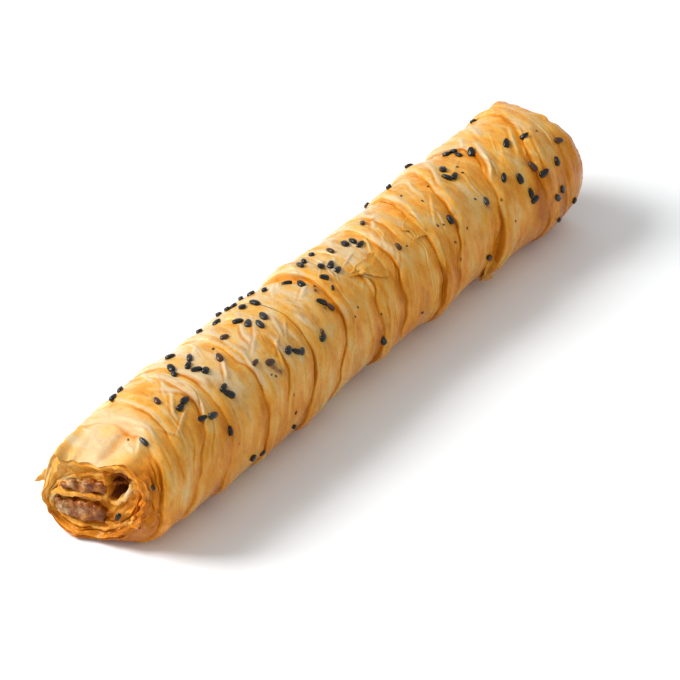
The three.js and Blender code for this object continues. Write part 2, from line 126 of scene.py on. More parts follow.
LIP_REACH = 0.32

# Where the sheet and the seeds ease off and stop, to keep inside the solids' box, and where the underside
# starts to flatten.
FAR_LIMIT = (213.5, 214.25)
NEAR_LIMIT = (3.6, 4.4)
TOP_LIMIT = (36.8, 38.0)
BACK_LIMIT = (19.4, 20.7)
FRONT_LIMIT = (19.2, 20.4)
SEED_LIMIT = (20.2, 20.8)
FLAT_BELOW = 0.6

# A tuck's line strength is how strong its painted crease shade is.
# Tucks listed one by one: place, turn, half span, slope, bow, rise, width, fall, side and line strength.
HAND_TUCKS = [
    (24.5, 80, 24, -0.16, 0.0, 0.55, 0.6, 1.6, 1, 0.5), (29.5, 74, 20, 0.12, 0.0, 0.5, 0.6, 1.4, -1, 0.5),
    (27.5, 52, 18, 0.1, 0.0, 0.45, 0.5, 1.8, 1, 0.4), (61.5, 77, 14, 0.30, 0.0, 0.45, 0.5, 1.2, 1, 0.5),
    (3.0, 12, 30, 0.03, 0.0, 1.1, 0.6, 1.2, 1, 1.2), (5.0, 26, 26, 0.05, 0.0, 1.0, 0.5, 1.4, 1, 1.1),
    (1.8, -12, 24, -0.02, 0.0, 0.8, 0.5, 1.0, 1, 1.1), (5.0, -10, 22, 0.02, 0.0, 0.8, 0.5, 1.2, 1, 1.0),
    (6, 72, 10, 0.22, 0.0, 0.5, 0.7, 2.0, 1, 0.4), (5, 100, 9, -0.25, 0.0, 0.45, 0.7, 2.0, -1, 0.3),
    (9, 118, 14, 0.1, 0.0, 0.4, 0.7, 2.0, 1, 0.2), (4, 150, 26, 0.04, 0.0, 0.5, 0.6, 1.6, 1, 0.6),
    (2.5, 190, 30, 0.03, 0.0, 0.5, 0.5, 1.2, 1, 0.8), (3.5, 240, 30, -0.03, 0.0, 0.5, 0.5, 1.4, 1, 0.8),
    (116, 20, 22, 0.1, 0.0, 0.4, 0.5, 2.0, 1, 0.6), (118.5, 10, 20, 0.06, 0.0, 0.35, 0.4, 1.6, 1, 0.6),
    (145.5, 30, 28, 0.05, 0.0, 0.45, 0.5, 1.6, -1, 0.6), (151, 72, 16, 0.2, 0.0, 0.35, 0.5, 1.6, 1, 0.4),
]

TUCK_FANS = 44

# The wrinkles' paleness is painted highlight on their crests.
# Pale wrinkles, listed one by one: from (place, turn) to (place, turn), half width and rise.
WRINKLES = [
    (20.5, 51, 29, 63, 0.9, 0.7), (24, 65, 30, 83, 0.9, 0.6), (27.5, 80, 33.5, 101, 0.8, 0.4),
    (23, 58, 26, 78, 0.6, 0.4), (47, 61, 52.5, 80, 0.9, 0.75), (40, 90, 41, 70, 0.8, 0.4),
    (57, 46, 58.5, 76, 0.7, 0.4), (62.5, 72, 68.5, 96, 0.9, 0.8), (65, 40, 70, 63, 0.6, 0.5),
    (66.5, 78, 73, 97, 0.7, 0.5), (48, 94, 54, 110, 1.6, 0.5), (59, 84, 60, 112, 0.7, 0.4),
    (96.5, 63, 98.6, 44, 0.8, 0.6), (112.3, 37, 114.6, 64, 0.8, 0.6), (90, 78, 97, 90, 1.4, 0.5),
    (85, 96, 92, 116, 0.8, 0.4), (101, 86, 110, 97, 1.0, 0.45), (111, 78, 118, 84, 1.2, 0.5),
    (131, 90, 137, 104, 1.2, 0.5), (122.5, 74, 126, 92, 0.7, 0.45), (142.6, 62, 147.5, 112, 0.9, 0.6),
    (161.5, 84, 169.5, 118, 1.0, 0.7), (176.6, 58, 184.5, 97, 1.0, 0.8), (190.5, 60, 197.5, 88, 0.9, 0.55),
    (196.8, 66, 205, 108, 1.0, 0.8), (147.5, 10, 150.4, 40, 1.2, 0.4), (168, 0, 170.5, 30, 1.0, 0.4),
    (180, 96, 186, 118, 0.9, 0.5), (152, 84, 157, 116, 0.9, 0.5), (73, 60, 77, 88, 0.9, 0.35),
    (14, 58, 16.2, 112, 0.8, 0.45), (5.5, 66, 8.5, 84, 0.9, 0.5), (6, 104, 9, 118, 1.0, 0.5),
    (32, 104, 36, 128, 0.9, 0.45), (104, 100, 109, 128, 1.0, 0.5), (118, 104, 123, 130, 1.0, 0.5),
    (136, 112, 142, 134, 1.0, 0.5), (188, 98, 193, 124, 1.0, 0.5), (40, 150, 46, 196, 1.0, 0.5),
    (70, 152, 75, 200, 1.0, 0.5), (98, 160, 104, 204, 1.0, 0.55), (131, 150, 139, 190, 1.0, 0.5),
    (158, 156, 164, 204, 1.0, 0.5), (187, 150, 193, 196, 1.0, 0.5), (20, 156, 24, 200, 1.0, 0.5),
]
THIN_WRINKLES = 110

# Open ends: how far the rim drops, draws in and sets back, each as (turn, millimetres).
NEAR_END = {
    "pinch": 9.5, "turn": 5.0, "wave": 0.5, "ripples": 5,
    "drops": [(0, 0), (30, 0.3), (60, 2.6), (90, 8.8), (112, 9.4), (126, 7), (150, 0.8), (180, 0), (360, 0)],
    "drawn_in": [(0, 2.8), (45, 1), (90, 0), (185, 0), (205, -1.2), (228, -2.4), (255, 0.2), (282, 2.6),
                 (320, 4.0), (360, 2.8)],
    "set_back": [(0, 3), (45, 3.2), (90, 2), (120, 0.3), (150, -1.2), (185, -2.3), (215, -2.7), (240, -2.0),
                 (270, 0.4), (300, 2.4), (360, 3)],
}
FAR_END = {
    "pinch": 8.0, "turn": 6.0, "wave": 0.25, "ripples": 11,
    "drops": [(0, 0), (45, 0.6), (90, 1.2), (120, 1.2), (150, 0.6), (180, 0), (360, 0)],
    "drawn_in": [(0, 0.9), (90, 0), (180, 0), (270, 0.8), (320, 1.2), (360, 0.9)],
    "set_back": [(0, 0.5), (45, 0.5), (60, 1.1), (75, 2.4), (95, 2.6), (115, 1.5), (130, 0.4), (150, 0.4),
                 (180, 0.5), (270, 0.3), (360, 0.5)],
}

# Mouth outlines (across, up) inside the rims.
NEAR_MIDDLE = (2.0, 15.0)
NEAR_MOUTH = [(16.6, 11.5), (14.0, 16.8), (10.4, 19.8), (4.6, 22), (-1.5, 24), (-6.6, 24.2), (-9.2, 20.6),
              (-9.6, 16), (-7.6, 11.4), (-3.6, 7.4), (2, 5.2), (8, 4.6), (13.2, 5.5), (16.2, 8.2)]
FAR_MIDDLE = (2.0, 17.2)
FAR_MOUTH = [(15.2, 14), (13.5, 20), (8, 24.5), (1, 26.5), (-6, 25.5), (-10.5, 21), (-11, 15), (-7, 9.5),
             (0, 7.4), (8, 7.2), (13.5, 9.4)]
FACE_START = 1.5
FACE_SLANT = -0.23

# Mince band: its line (across, up from the band's height) and half thickness.
BAND_LINE = [(14.4, -5.2), (7.5, -4.1), (0.8, -3.4), (-2.4, -2.2), (-3.6, 0.8), (-2.4, 3.8), (0.8, 5),
             (4.5, 4.8), (8.5, 3.5)]
BAND_HEIGHT = 13.5
BAND_RISE = 2.9
BAND_LENGTHS = 60
BAND_ROUNDS = 80
FAR_FACE = 4.2
END_CRUMBS = 210
TIP_CRUMBS = 18
MINCE_GRAIN = 0.52
BAND_THICK = [(0, 3.5), (0.35, 3.5), (0.6, 1.6), (1, 2.3)]
# Pale spots on the mince: partly fat bits, partly painted glints.
FAT_SPOTS = [(15.2, 8.9), (13.5, 7.4), (12.5, 10.0), (15.0, 6.4), (10.9, 8.0), (9.6, 18.4), (6.0, 19.2),
             (6.4, 9.6)]

# Seeds: place, turn and heading, then shade (1 grey, a painted highlight for seeds that show a glint; 2
# brown; else black) and size share if it isn't 1.
SEED_LENGTH = 3.55
SEED_BACK = 0.5
SEED_DOWN = 1.6
SEEDS = [
    (5.4, 27, 95, 0, 0.55), (11.5, 67, 80, 1, 0.95), (22.8, 128, 20), (24.9, 85, 67, 2, 0.9),
    (28.1, 67.6, 10), (31, 69.8, 0), (27.5, 132, 30), (31.2, 49.6, -12), (34.6, 46.3, -8, 1),
    (37.8, 27.4, 65, 0, 0.95), (38.1, 98, 55), (40, 104.5, 60), (43.4, 95, 25), (46.8, 101.5, 40, 1),
    (43.3, 86.5, 155), (44.9, 80.6, 25), (44.1, 59, 20, 0, 1.05), (44.1, 52, 125, 0, 1.05), (45.5, 119, 0),
    (46.7, -14.6, -25, 0, 0.95), (52.5, -22, -35, 0, 0.9), (52.1, 82.6, 60, 2, 0.95), (58.9, 60, 10, 2, 0.95),
    (60.6, 96.6, -10, 2, 0.95), (62.5, 129, 40), (63.5, 52.6, -15, 2), (66.7, -18, -45, 0, 0.9),
    (67.8, 122, 5), (69.4, 102, -25), (70.2, 93, 30, 1), (71.7, 84, 70, 1), (71.3, 51, 20), (73.6, 46, 130),
    (75.7, 43, 35, 1, 0.8), (72.8, 131, 40), (76.2, 130, 70), (79, 129, 30), (75.6, 88.4, 60, 1),
    (76.5, 112, 25), (79.8, 106.5, 85), (85.3, 41, 10, 0, 0.95), (83.5, 132, 40), (86.8, 129, 20),
    (88.2, 116, 45), (93.9, 67, 130), (95.1, 58.5, 105, 2, 0.9), (94.4, 107, 150), (96, 94.5, 65),
    (102, 82, 120, 0, 0.95), (106, 92, 20), (108.8, 87, 35), (108.6, 79, 15), (102.8, 109, 60, 1),
    (105.7, 110, 45), (111.1, 115, 60), (111.4, -5.4, 110, 0, 0.95), (114.6, 102, 80, 2, 0.9),
    (120.5, 100, 65), (122.9, 97, 75), (122.8, 88, 10), (130.6, 63, 80, 2, 0.85), (132.1, 107, 45, 2, 0.95),
    (152.6, 54.4, 65), (154, 128, 50), (164.8, -7, 140, 0, 0.95), (165.4, 85, 100), (168.2, 95.5, 45),
    (167.8, 81.5, 25), (169.4, 46, 60, 1, 0.8), (178, 115, 20), (180.1, 112.5, 80), (178.4, 102, 85, 0, 0.75),
    (181.7, 94.4, 35), (180.6, 53.6, 45), (185.3, 43.6, 85), (186.7, 27, 85), (187.4, 20, 20),
    (191.2, 76, 40), (192.1, 46, 95, 2), (193.6, 36.4, 10), (197.4, 70.6, -15, 0, 0.9),
    (197.1, 8, 120, 1, 0.9), (200, 12, 105, 1, 0.95), (201.4, 37.4, 60), (199.8, -21, 135, 0, 0.95),
    (207.3, 51, -25, 2, 0.95), (86.3, 45, 70, 2, 0.6), (100.8, 69.6, 40, 0, 0.55), (207.3, -12, 110, 0, 0.8),
    (202.2, 141, 40), (169.6, 138, 10),
]
BACK_SEEDS = 14
MOUTH_SEED = ((2.7, -4.8, 10.8), (-0.86, -0.28, 0.42), 70, 0.8)

# Brown specks and stains on the sheet: place and turn, and for stains their spread.
SPECKS = [
    (11.2, 84), (54.6, 95), (62, 41), (66.4, -1.4), (100.9, 37), (104.2, 41), (111.7, 22.6), (129.6, -5.4),
    (133.5, 59), (140.3, 70.6), (147, 57.6), (149, 55), (149.4, 36), (151.2, 85), (158.4, 93), (149.4, 104),
    (156.2, 38), (166.4, 53), (170.9, 80), (172.3, 89), (176.6, 15), (202.6, 68.6), (96.5, 80), (98, 84),
    (60.8, 44), (83, 150), (121, 160), (40, 170), (160, 185), (190, 175), (66, 205), (110, 190), (140, 215),
]
STAINS = [
    (63.0, 45, 1.7), (64.3, 39.5, 1.1), (92.8, 59.5, 1.4), (96.5, 78, 2.0), (52.4, 82, 1.2), (86, 44, 1.0),
    (191, 50, 1.6), (168, 40, 1.4), (24.8, 86, 1.2), (141.5, 60, 1.2), (120, 170, 2.0), (60, 190, 1.8),
]


def smooth(value, low, high):
    share = np.clip((value - low) / (high - low), 0.0, 1.0)
    return share * share * (3.0 - 2.0 * share)


def hump(offset, width, power=2):
    """A soft rise to 1 that dies away over a width."""
    return np.exp(-(offset / width) ** power)


def upward(turn):
    """How far a turn faces up, from -1 to 1."""
    return np.sin(np.radians(turn))


def turn_from(turn, middle):
    return np.mod(turn - middle + 180.0, 360.0) - 180.0


def eased(rows, at):
    places, values = np.array(rows, float).T
    at = np.clip(at, places[0], places[-1])
    upper = np.clip(np.searchsorted(places, at, side="right"), 1, len(places) - 1)
    share = smooth(at, places[upper - 1], places[upper])
    return values[upper - 1] + (values[upper] - values[upper - 1]) * share


def curve(places, values, at):
    """A smooth line through values at places."""
    slopes = np.gradient(values, places)
    upper = np.clip(np.searchsorted(places, at, side="right"), 1, len(places) - 1)
    width = places[upper] - places[upper - 1]
    f = (at - places[upper - 1]) / width
    before = values[upper - 1] * (1 + 2 * f) * (1 - f) ** 2 + slopes[upper - 1] * width * f * (1 - f) ** 2
    return before + values[upper] * f * f * (3 - 2 * f) + slopes[upper] * width * f * f * (f - 1)


def flowing(rows, turn):
    """A smooth closed line through (turn, value) rows that goes once round the roll."""
    places, values = np.array(rows, float).T
    at = np.mod(np.asarray(turn, float) - places[0], 360.0) + places[0]
    places = np.concatenate([places[-2:] - 360.0, places, places[:2] + 360.0])
    return curve(places, np.concatenate([values[-2:], values, values[:2]]), at)


def along_path(rows, share):
    """Points (across, up) on a smooth open line through the rows."""
    points = np.array(rows, float)
    places = np.concatenate([[0.0], np.cumsum(np.hypot(*np.diff(points, axis=0).T))])
    places /= places[-1]
    return [curve(places, values, share) for values in points.T]


CELLS_ALONG = 256


def unevenness(along, turn, cell, cells_round, seed):
    """Seeded soft bumps over the roll, from -1 to 1, in cells of a length and a number round the roll."""
    table = np.random.default_rng(seed).uniform(-1.0, 1.0, (CELLS_ALONG, cells_round))
    u = np.asarray(along, float) / cell + 40.0
    v = np.mod(np.asarray(turn, float), 360.0) / 360.0 * cells_round
    i, j = np.floor(u).astype(int), np.floor(v).astype(int)
    fu, fv = smooth(u - i, 0.0, 1.0), smooth(v - j, 0.0, 1.0)
    i0, i1, j0, j1 = i % CELLS_ALONG, (i + 1) % CELLS_ALONG, j % cells_round, (j + 1) % cells_round
    low = table[i0, j0] * (1 - fv) + table[i0, j1] * fv
    high = table[i1, j0] * (1 - fv) + table[i1, j1] * fv
    return low * (1 - fu) + high * fu


def ridges(*where):
    """Sharp ridges where the unevenness crosses its middle, from -1 to 1."""
    return 1 - 2 * np.abs(unevenness(*where))


def rolled(layers, power):
    """Rounded layers side by side, from 0 between them to 1 on top."""
    return (0.5 - 0.5 * np.cos(2 * np.pi * layers)) ** power


def unit(rows):
    return rows / np.linalg.norm(rows, axis=1)[:, None]


def spotted(points, spots, lift, size):
    """Soft spots (across, up) on the face of an open end."""
    far = [(points[:, 1] - across) ** 2 + (points[:, 2] - up - lift) ** 2 for across, up in spots]
    return sum(np.exp(-square / size) for square in far)


def end_form(end, from_end, turn):
    degrees = np.mod(turn, 360.0)
    pinch = hump(from_end, end["pinch"])
    turning = hump(from_end, end["turn"])
    ragged = end["wave"] * np.sin(np.radians(degrees) * end["ripples"]) * np.sin(np.radians(degrees) * 2 + 1)
    set_back = turning * eased(end["set_back"], degrees) + ragged * hump(from_end, 1.5)
    return pinch * eased(end["drops"], degrees), turning * eased(end["drawn_in"], degrees), set_back


def thin_wrinkles():
    """Pale wrinkles in all, those listed and seeded thin ones, mostly on the top."""
    draw = np.random.default_rng(23)
    wrinkles = list(WRINKLES)
    for _ in range(THIN_WRINKLES):
        place, turn = draw.uniform(8, 208), draw.uniform(40, 190)
        run, rise_round = draw.normal(3.0, 3.5), draw.uniform(10, 30)
        half, rise = draw.uniform(0.35, 0.7), draw.uniform(0.12, 0.42)
        wrinkles.append((place, turn, place + run, turn + rise_round, half, rise))
    return wrinkles


def small_tucks():
    """Minor tucks in all, those listed and seeded ones beside the folds and in fans."""
    draw = np.random.default_rng(11)
    tucks = list(HAND_TUCKS)
    for at, _, _ in FOLDS:
        for middle, count in ((20, 4), (150, 2), (250, 2)):
            for _ in range(count):
                side = 1 if draw.uniform() < 0.7 else -1
                gap = side * draw.uniform(1.4, 5.5)
                spread_rate = side * draw.uniform(0.0, 0.055)
                tucks.append((
                    at + gap, middle + draw.uniform(-30, 35), draw.uniform(18, 52), spread_rate,
                    draw.normal(0, 0.0003), draw.uniform(0.10, 0.34), draw.uniform(0.35, 0.6),
                    draw.uniform(1.0, 2.6), 1 if draw.uniform() < 0.75 else -1, draw.uniform(0.1, 0.6),
                ))
    for _ in range(TUCK_FANS):
        at, middle = draw.uniform(9, 210), draw.uniform(-70, 290)
        on_top = 45 < middle < 140
        slope = draw.normal(0.10, 0.2) if on_top else draw.normal(0.03, 0.07)
        fan, gap = draw.normal(0, 0.014), draw.uniform(0.8, 1.7)
        span, side = draw.uniform(10, 30), 1 if draw.uniform() < 0.6 else -1
        for line in range(draw.integers(3, 6)):
            tucks.append((
                at + line * gap, middle + draw.uniform(-8, 8), span * draw.uniform(0.6, 1.2),
                slope + fan * line, draw.normal(0, 0.0008), draw.uniform(0.06, 0.2), draw.uniform(0.42, 0.75),
                draw.uniform(0.8, 1.8), side, draw.uniform(0.0, 0.25),
            ))
    return tucks


TUCKS = small_tucks()
ALL_WRINKLES = thin_wrinkles()


def fold_lean(along, turn):
    places = np.array([0.0] + [fold[0] for fold in FOLDS] + [LENGTH])
    straight = [np.zeros_like(turn)]
    leans = np.stack(straight + [flowing(line, turn) - at for at, line, _ in FOLDS] + straight)
    upper = np.clip(np.searchsorted(places, along, side="right"), 1, len(places) - 1)
    share = smooth(along, places[upper - 1], places[upper])
    spot = np.arange(len(turn))
    return leans[upper - 1, spot] * (1 - share) + leans[upper, spot] * share


def crumpled(along, turn, seed):
    """Sharp little ridges that cross each other, from about -1 to 1."""
    side_on = np.mod(turn + 90.0, 360.0) - 90.0
    drift = 1.7 * unevenness(along, turn, 11.0, 9, seed)
    first = ridges(along + 0.06 * side_on + drift, turn, 6.2, 11, seed + 1)
    second = ridges(along - 0.11 * side_on - drift, turn, 4.6, 15, seed + 2)
    third = ridges(along + 0.02 * side_on + 0.6 * drift, turn, 2.4, 27, seed + 3)
    return 0.5 * first + 0.35 * second + 0.15 * third


def kept_below(value, soft, limit):
    """Values that ease off between a soft limit and a firm one."""
    return np.where(value > soft, limit - (limit - soft) * np.exp(-(value - soft) / (limit - soft)), value)


# Form of the outer sheet, in rows of relief, reach, painted crease shade, painted lip highlight, and amber
# with painted glow and shade.
def lay_folds(form, along, turn):
    relief, reach, crease, lip, glow = form
    for at, _, rise in FOLDS:
        past = along - at + 0.55 * unevenness(along, turn, 9.0, 23, int(at * 10))
        past += 0.3 * unevenness(along, turn, 5.0, 49, int(at * 10) + 3)
        height = flowing(rise, turn) * (1.0 + 0.45 * unevenness(along, turn, 40.0, 13, int(at * 7)))
        height = np.maximum(height, 0.06)
        firm = 0.72 + 0.75 * unevenness(along, turn, 60.0, 17, int(at * 13))
        firm = np.clip(firm, 0.12 + 0.6 * smooth(height, 0.9, 1.6), 1.2)
        width = 0.35 + 0.8 * np.maximum(1 - firm, 0)
        steep = smooth(height, 1.3, 2.3)
        pillow = 0.5 + 0.3 * steep + (0.5 - 0.3 * steep) * smooth(past, -0.3, 2.6)
        sinking = np.exp(-np.maximum(past - 1.6, 0) / BAND_FALL)
        relief += height * smooth(past, -width, 0.35 * width) * pillow * sinking
        relief -= 0.3 * np.minimum(height, 1.1) * firm * hump(past + 0.55, 0.42)
        relief -= 0.5 * steep * height * hump(past + 1.8, 2.2)
        reach += LIP_REACH * height * firm * hump(past - 0.1, 0.4)
        # Painted shade in a strip at each fold's crease, painted highlight on its lip, and amber with painted
        # glow and shade before it.
        strip = 0.6 * hump(past + 0.42, 0.34) + 0.42 * hump(past + 0.75, 1.15)
        crease += np.minimum(height * 1.35, 1.3) * firm * strip
        lip += np.minimum(height, 1.0) * firm * hump(past - 0.45, 0.5)
        glow += np.minimum(height, 1.0) * hump(past + 1.6, 2.2)


def lay_tucks(form, along, turn):
    relief, _, crease, lip, _ = form
    for at, middle, span, slope, bow, rise, width, fall, side, strength in TUCKS:
        off = turn_from(turn, middle)
        past = side * (along - at - slope * off - bow * off * off)
        near = np.nonzero((np.abs(off) < span) & (past > -3 * width) & (past < 4 * fall))[0]
        off, past = off[near], past[near]
        window = (1 - (off / span) ** 2) ** 1.5
        step = smooth(past, -width, 0.5 * width) * np.exp(-np.maximum(past, 0) / fall)
        groove = hump(past + 0.9 * width, 0.8 * width)
        relief[near] += rise * window * (step - 0.45 * groove)
        # Painted shade in each tuck's groove, as strong as its line strength, and painted highlight on its
        # crest.
        crease[near] += strength * window * groove
        lip[near] += 1.3 * rise * window * hump(past - 0.8 * width, width)


def lay_wrinkles(form, along, turn):
    relief, _, crease, lip, _ = form
    leaning = along + fold_lean(along, turn)
    for place_1, turn_1, place_2, turn_2, half, rise in ALL_WRINKLES:
        low, high = min(place_1, place_2) - 6 * half, max(place_1, place_2) + 6 * half
        beyond = np.abs(turn - 0.5 * (turn_1 + turn_2)) - 0.5 * abs(turn_2 - turn_1)
        near = np.nonzero((leaning > low) & (leaning < high) & (beyond < 10))[0]
        share = np.clip((turn[near] - turn_1) / (turn_2 - turn_1), 0, 1)
        bend = half * unevenness(along[near], turn[near], 30.0, 25, int(place_1 * 10))
        off = leaning[near] - place_1 - (place_2 - place_1) * share - bend
        window = (1 - 0.7 * (2 * share - 1) ** 4) * hump(np.maximum(beyond[near], 0), 4)
        crest = np.exp(-(np.abs(off) / half) ** 1.35) * window
        # Painted highlight on each wrinkle's crest and painted shade along one side of it.
        relief[near] += rise * crest
        lip[near] += 1.6 * rise * crest
        crease[near] += 1.2 * rise * window * hump(off + 1.7 * half, 0.75 * half)


def crumple_sheet(form, along, turn):
    relief = form[0]
    slanted = along - 0.07 * (np.mod(turn + 90, 360.0) - 90)
    relief += 0.22 * unevenness(slanted, turn, 7.0, 11, 1)
    rough = 0.3 + 0.7 * smooth(unevenness(along, turn, 15.0, 7, 4), -0.35, 0.45)
    rough *= 0.55 + 0.45 * smooth(upward(turn), -0.1, 0.75)
    relief += CRUMPLE * rough * crumpled(along, turn, 30)


def work_ends(form, along, turn):
    """Crumples the sheet by the near mouth, swells it over both rims, and evens out its marks of painted
    shade, glow and highlight.
    """
    relief, _, crease, lip, glow = form
    side_on = turn_from(turn, 0.0)
    mouth_side = smooth(along, 6.6, 4.0) * hump(side_on + 2, 42, 4)
    crumple = ridges(along - 0.03 * side_on, turn, 2.4, 23, 5)
    crumple += 0.5 * ridges(along + 0.05 * side_on, turn, 1.1, 47, 6)
    relief += 0.75 * mouth_side * crumple
    # Painted shade in the valleys of the crumples by the near mouth, with more amber and painted glow there.
    crease += 1.1 * mouth_side * np.clip(0.25 - crumple, 0, 1)
    glow += 1.3 * mouth_side
    valley = hump(side_on - 93 + 0.5 * along, 5) * smooth(along, 10.0, 4.0)
    relief -= 0.7 * valley
    crease += 0.9 * valley * smooth(along, 1.0, 3.0)
    # Painted crease shade deeper on the top and fainter on the upper back, with less painted glow there;
    # painted lip highlight kept mostly to the top, where the light falls; over the near mouth less shade and
    # glow and more highlight.
    crease *= 1 + 0.2 * smooth(upward(turn), 0.3, 0.9)
    upper_back = hump(side_on - 136, 32, 4)
    crease *= 1 - 0.7 * upper_back
    glow *= 1 - 0.85 * upper_back
    lip *= 0.3 + 0.7 * smooth(upward(turn), 0.2, 0.9)
    over_mouth = smooth(along, 16.0, 11.0) * hump(side_on - 92, 38, 4)
    crease *= 1 - 0.4 * over_mouth
    glow *= 1 - 0.75 * over_mouth
    lip += 0.15 * over_mouth
    apex = hump(along - 213.0, 6) * hump(side_on - 127, 11)
    relief += 1.5 * apex
    relief += 0.5 * smooth(along, 13.0, 6.0) * (hump(side_on - 74, 13) + hump(side_on - 110, 12))
    relief += 1.1 * hump(along - 6.5, 5.5) * hump(side_on - 100, 34)
    rim_edge = hump(along, 2.6) + hump(LENGTH - along, 2.6)
    relief += 0.4 * rim_edge * unevenness(along, turn, 2.0, 33, 8)


def filo(along, turn):
    """The outer sheet at places and turns: points in millimetres, and its marks of painted crease shade,
    painted lip highlight, and amber with painted glow and shade.
    """
    along, turn = np.asarray(along, float), np.asarray(turn, float)
    form = np.zeros((5, len(along)))
    for work in (lay_folds, lay_tucks, lay_wrinkles, crumple_sheet, work_ends):
        work(form, along, turn)
    relief, reach, crease, lip, glow = form
    angle = np.radians(turn)
    near_drop, near_round, near_back = end_form(NEAR_END, along, turn)
    far_drop, far_round, far_back = end_form(FAR_END, LENGTH - along, turn)
    rim_round = 0.9 * hump(along, 1.5) + 0.6 * hump(LENGTH - along, 1.3)
    radius = RADIUS * eased(GIRTH, along) + relief - near_round - far_round - rim_round
    x = along + fold_lean(along, turn) - reach + near_back - far_back
    ragged = 0.5 * unevenness(along * 0, turn, 9.0, 31, 9) + 0.35 * unevenness(along * 0, turn, 9.0, 67, 10)
    x += ragged * hump(along, 1.6) - np.abs(ragged) * hump(LENGTH - along, 1.6)
    x = -kept_below(-kept_below(x, *FAR_LIMIT), *NEAR_LIMIT)
    y = -np.cos(angle) * radius + eased(SWAY, along)
    z = AXIS_HEIGHT + np.sin(angle) * radius - near_drop - far_drop
    z = np.where(z < FLAT_BELOW, FLAT_BELOW * np.exp((z - FLAT_BELOW) / FLAT_BELOW), z)
    z = kept_below(z, *TOP_LIMIT)
    y = kept_below(y, *BACK_LIMIT)
    y = -kept_below(-y, *FRONT_LIMIT)
    return np.stack([x - MIDDLE, y, z], axis=-1), crease, lip, glow


def before_lean(places, turns):
    """Places on the unshifted sheet that come out at given places on the roll."""
    places, turns = np.asarray(places, float), np.asarray(turns, float)
    at = places.copy()
    for _ in range(25):
        out = at + fold_lean(at, turns) + end_form(NEAR_END, at, turns)[2]
        out -= end_form(FAR_END, LENGTH - at, turns)[2]
        at = np.clip(at + 0.6 * (places - out), 0.0, LENGTH)
    return at


SEAT_LENGTH = 0.8
SEAT_TURN = 2.5


def seats(at, turn):
    """Points on the sheet with their outward normals and directions along and round the roll."""
    points = filo(at, turn)[0]
    along = unit(filo(at + SEAT_LENGTH, turn)[0] - filo(at - SEAT_LENGTH, turn)[0])
    normal = unit(np.cross(along, filo(at, turn + SEAT_TURN)[0] - filo(at, turn - SEAT_TURN)[0]))
    return points, normal, along, np.cross(normal, along)


def mesh_points(piece):
    points = np.empty(len(piece.data.vertices) * 3)
    piece.data.vertices.foreach_get("co", points)
    return points.reshape(-1, 3)


def laid_grid(name, first_count, second_count):
    """A flat grid to be shaped, with each vertex's two shares from 0 to 1."""
    bpy.ops.object.select_all(action="DESELECT")
    bpy.ops.mesh.primitive_grid_add(x_subdivisions=first_count, y_subdivisions=second_count, size=2.0)
    sheet = bpy.context.object
    sheet.name = name
    sheet.data.name = name
    flat = (mesh_points(sheet) + 1.0) / 2.0
    return sheet, flat[:, 0], flat[:, 1]


def shape_grid(sheet, points):
    sheet.data.vertices.foreach_set("co", (points * MILLIMETRE).ravel())
    sheet.data.update()


def marks(piece, **values):
    """Numbers on each point, by name, for the finish to read."""
    for name, value in values.items():
        layer = piece.data.attributes.new(name, "FLOAT", "POINT")
        layer.data.foreach_set("value", np.full(len(piece.data.vertices), value, np.float32))


def thicken(sheet, wall):
    layer = sheet.modifiers.new("wall", "SOLIDIFY")
    layer.thickness = wall * MILLIMETRE
    layer.offset = 0.0
    bpy.ops.object.modifier_apply(modifier="wall")


def fused(piece, grain):
    """Makes the piece one skin of a grain, and gives its points in millimetres."""
    skin = piece.modifiers.new("skin", "REMESH")
    skin.mode = "VOXEL"
    skin.voxel_size = grain * MILLIMETRE
    bpy.ops.object.modifier_apply(modifier="skin")
    return mesh_points(piece) / MILLIMETRE


def pattern_shape(make, **sizes):
    """Corners and faces of a plain form that is itself not kept."""
    bpy.ops.object.select_all(action="DESELECT")
    make(**sizes)
    pattern = bpy.context.object.data
    corners = np.array([vertex.co for vertex in pattern.vertices])
    faces = [tuple(face.vertices) for face in pattern.polygons]
    bpy.ops.object.delete()
    return corners, faces


def array_piece(name, points, faces):
    mesh = bpy.data.meshes.new(name)
    mesh.from_pydata((points * MILLIMETRE).tolist(), [], faces)
    piece = bpy.data.objects.new(name, mesh)
    bpy.context.collection.objects.link(piece)
    return piece


SEAM_GAP = 0.000002


def close_seam(flip=False):
    bpy.ops.object.mode_set(mode="EDIT")
    bpy.ops.mesh.select_all(action="SELECT")
    bpy.ops.mesh.remove_doubles(threshold=SEAM_GAP)
    if flip:
        bpy.ops.mesh.flip_normals()
    bpy.ops.object.mode_set(mode="OBJECT")
    bpy.ops.object.shade_smooth()


PLAIN_STEP = 0.24
FOLD_STEP = 0.13


def sheet_stations(start, stop, count):
    """Places along the sheet, closer together at the folds."""
    fine = np.arange(start, stop + 0.01, 0.02)
    density = np.full_like(fine, 1 / PLAIN_STEP)
    for at, _, _ in FOLDS:
        density[np.abs(fine - at) < 1.5] = 1 / FOLD_STEP
    total = np.concatenate([[0.0], np.cumsum(density)])[:-1]
    return np.interp(np.linspace(0, total[-1], count), total, fine)


# Outer sheet of filo in three overlapping lengths, with its rims turned in.
RIM_ROLL = [(0.12, -0.05), (0.3, 0.1), (0.5, 0.5), (0.62, 1.3)]
OVERLAPS = (76.4, 143.9)
LAP = 0.8
LAP_UNDER = 0.2
SHEET_STATIONS = 338
SHEET_ROUNDS = 272
DEGREE_LENGTH = 0.335


def roll_rim(points, rings, middle, inward):
    """Turns the last rings of a sheet in, towards the middle of its open end."""
    for index, (pull, back) in enumerate(RIM_ROLL):
        ring = rings == index
        points[ring, 1:] += unit(np.array(middle) - points[ring][:, 1:]) * pull
        points[ring, 0] += inward * back


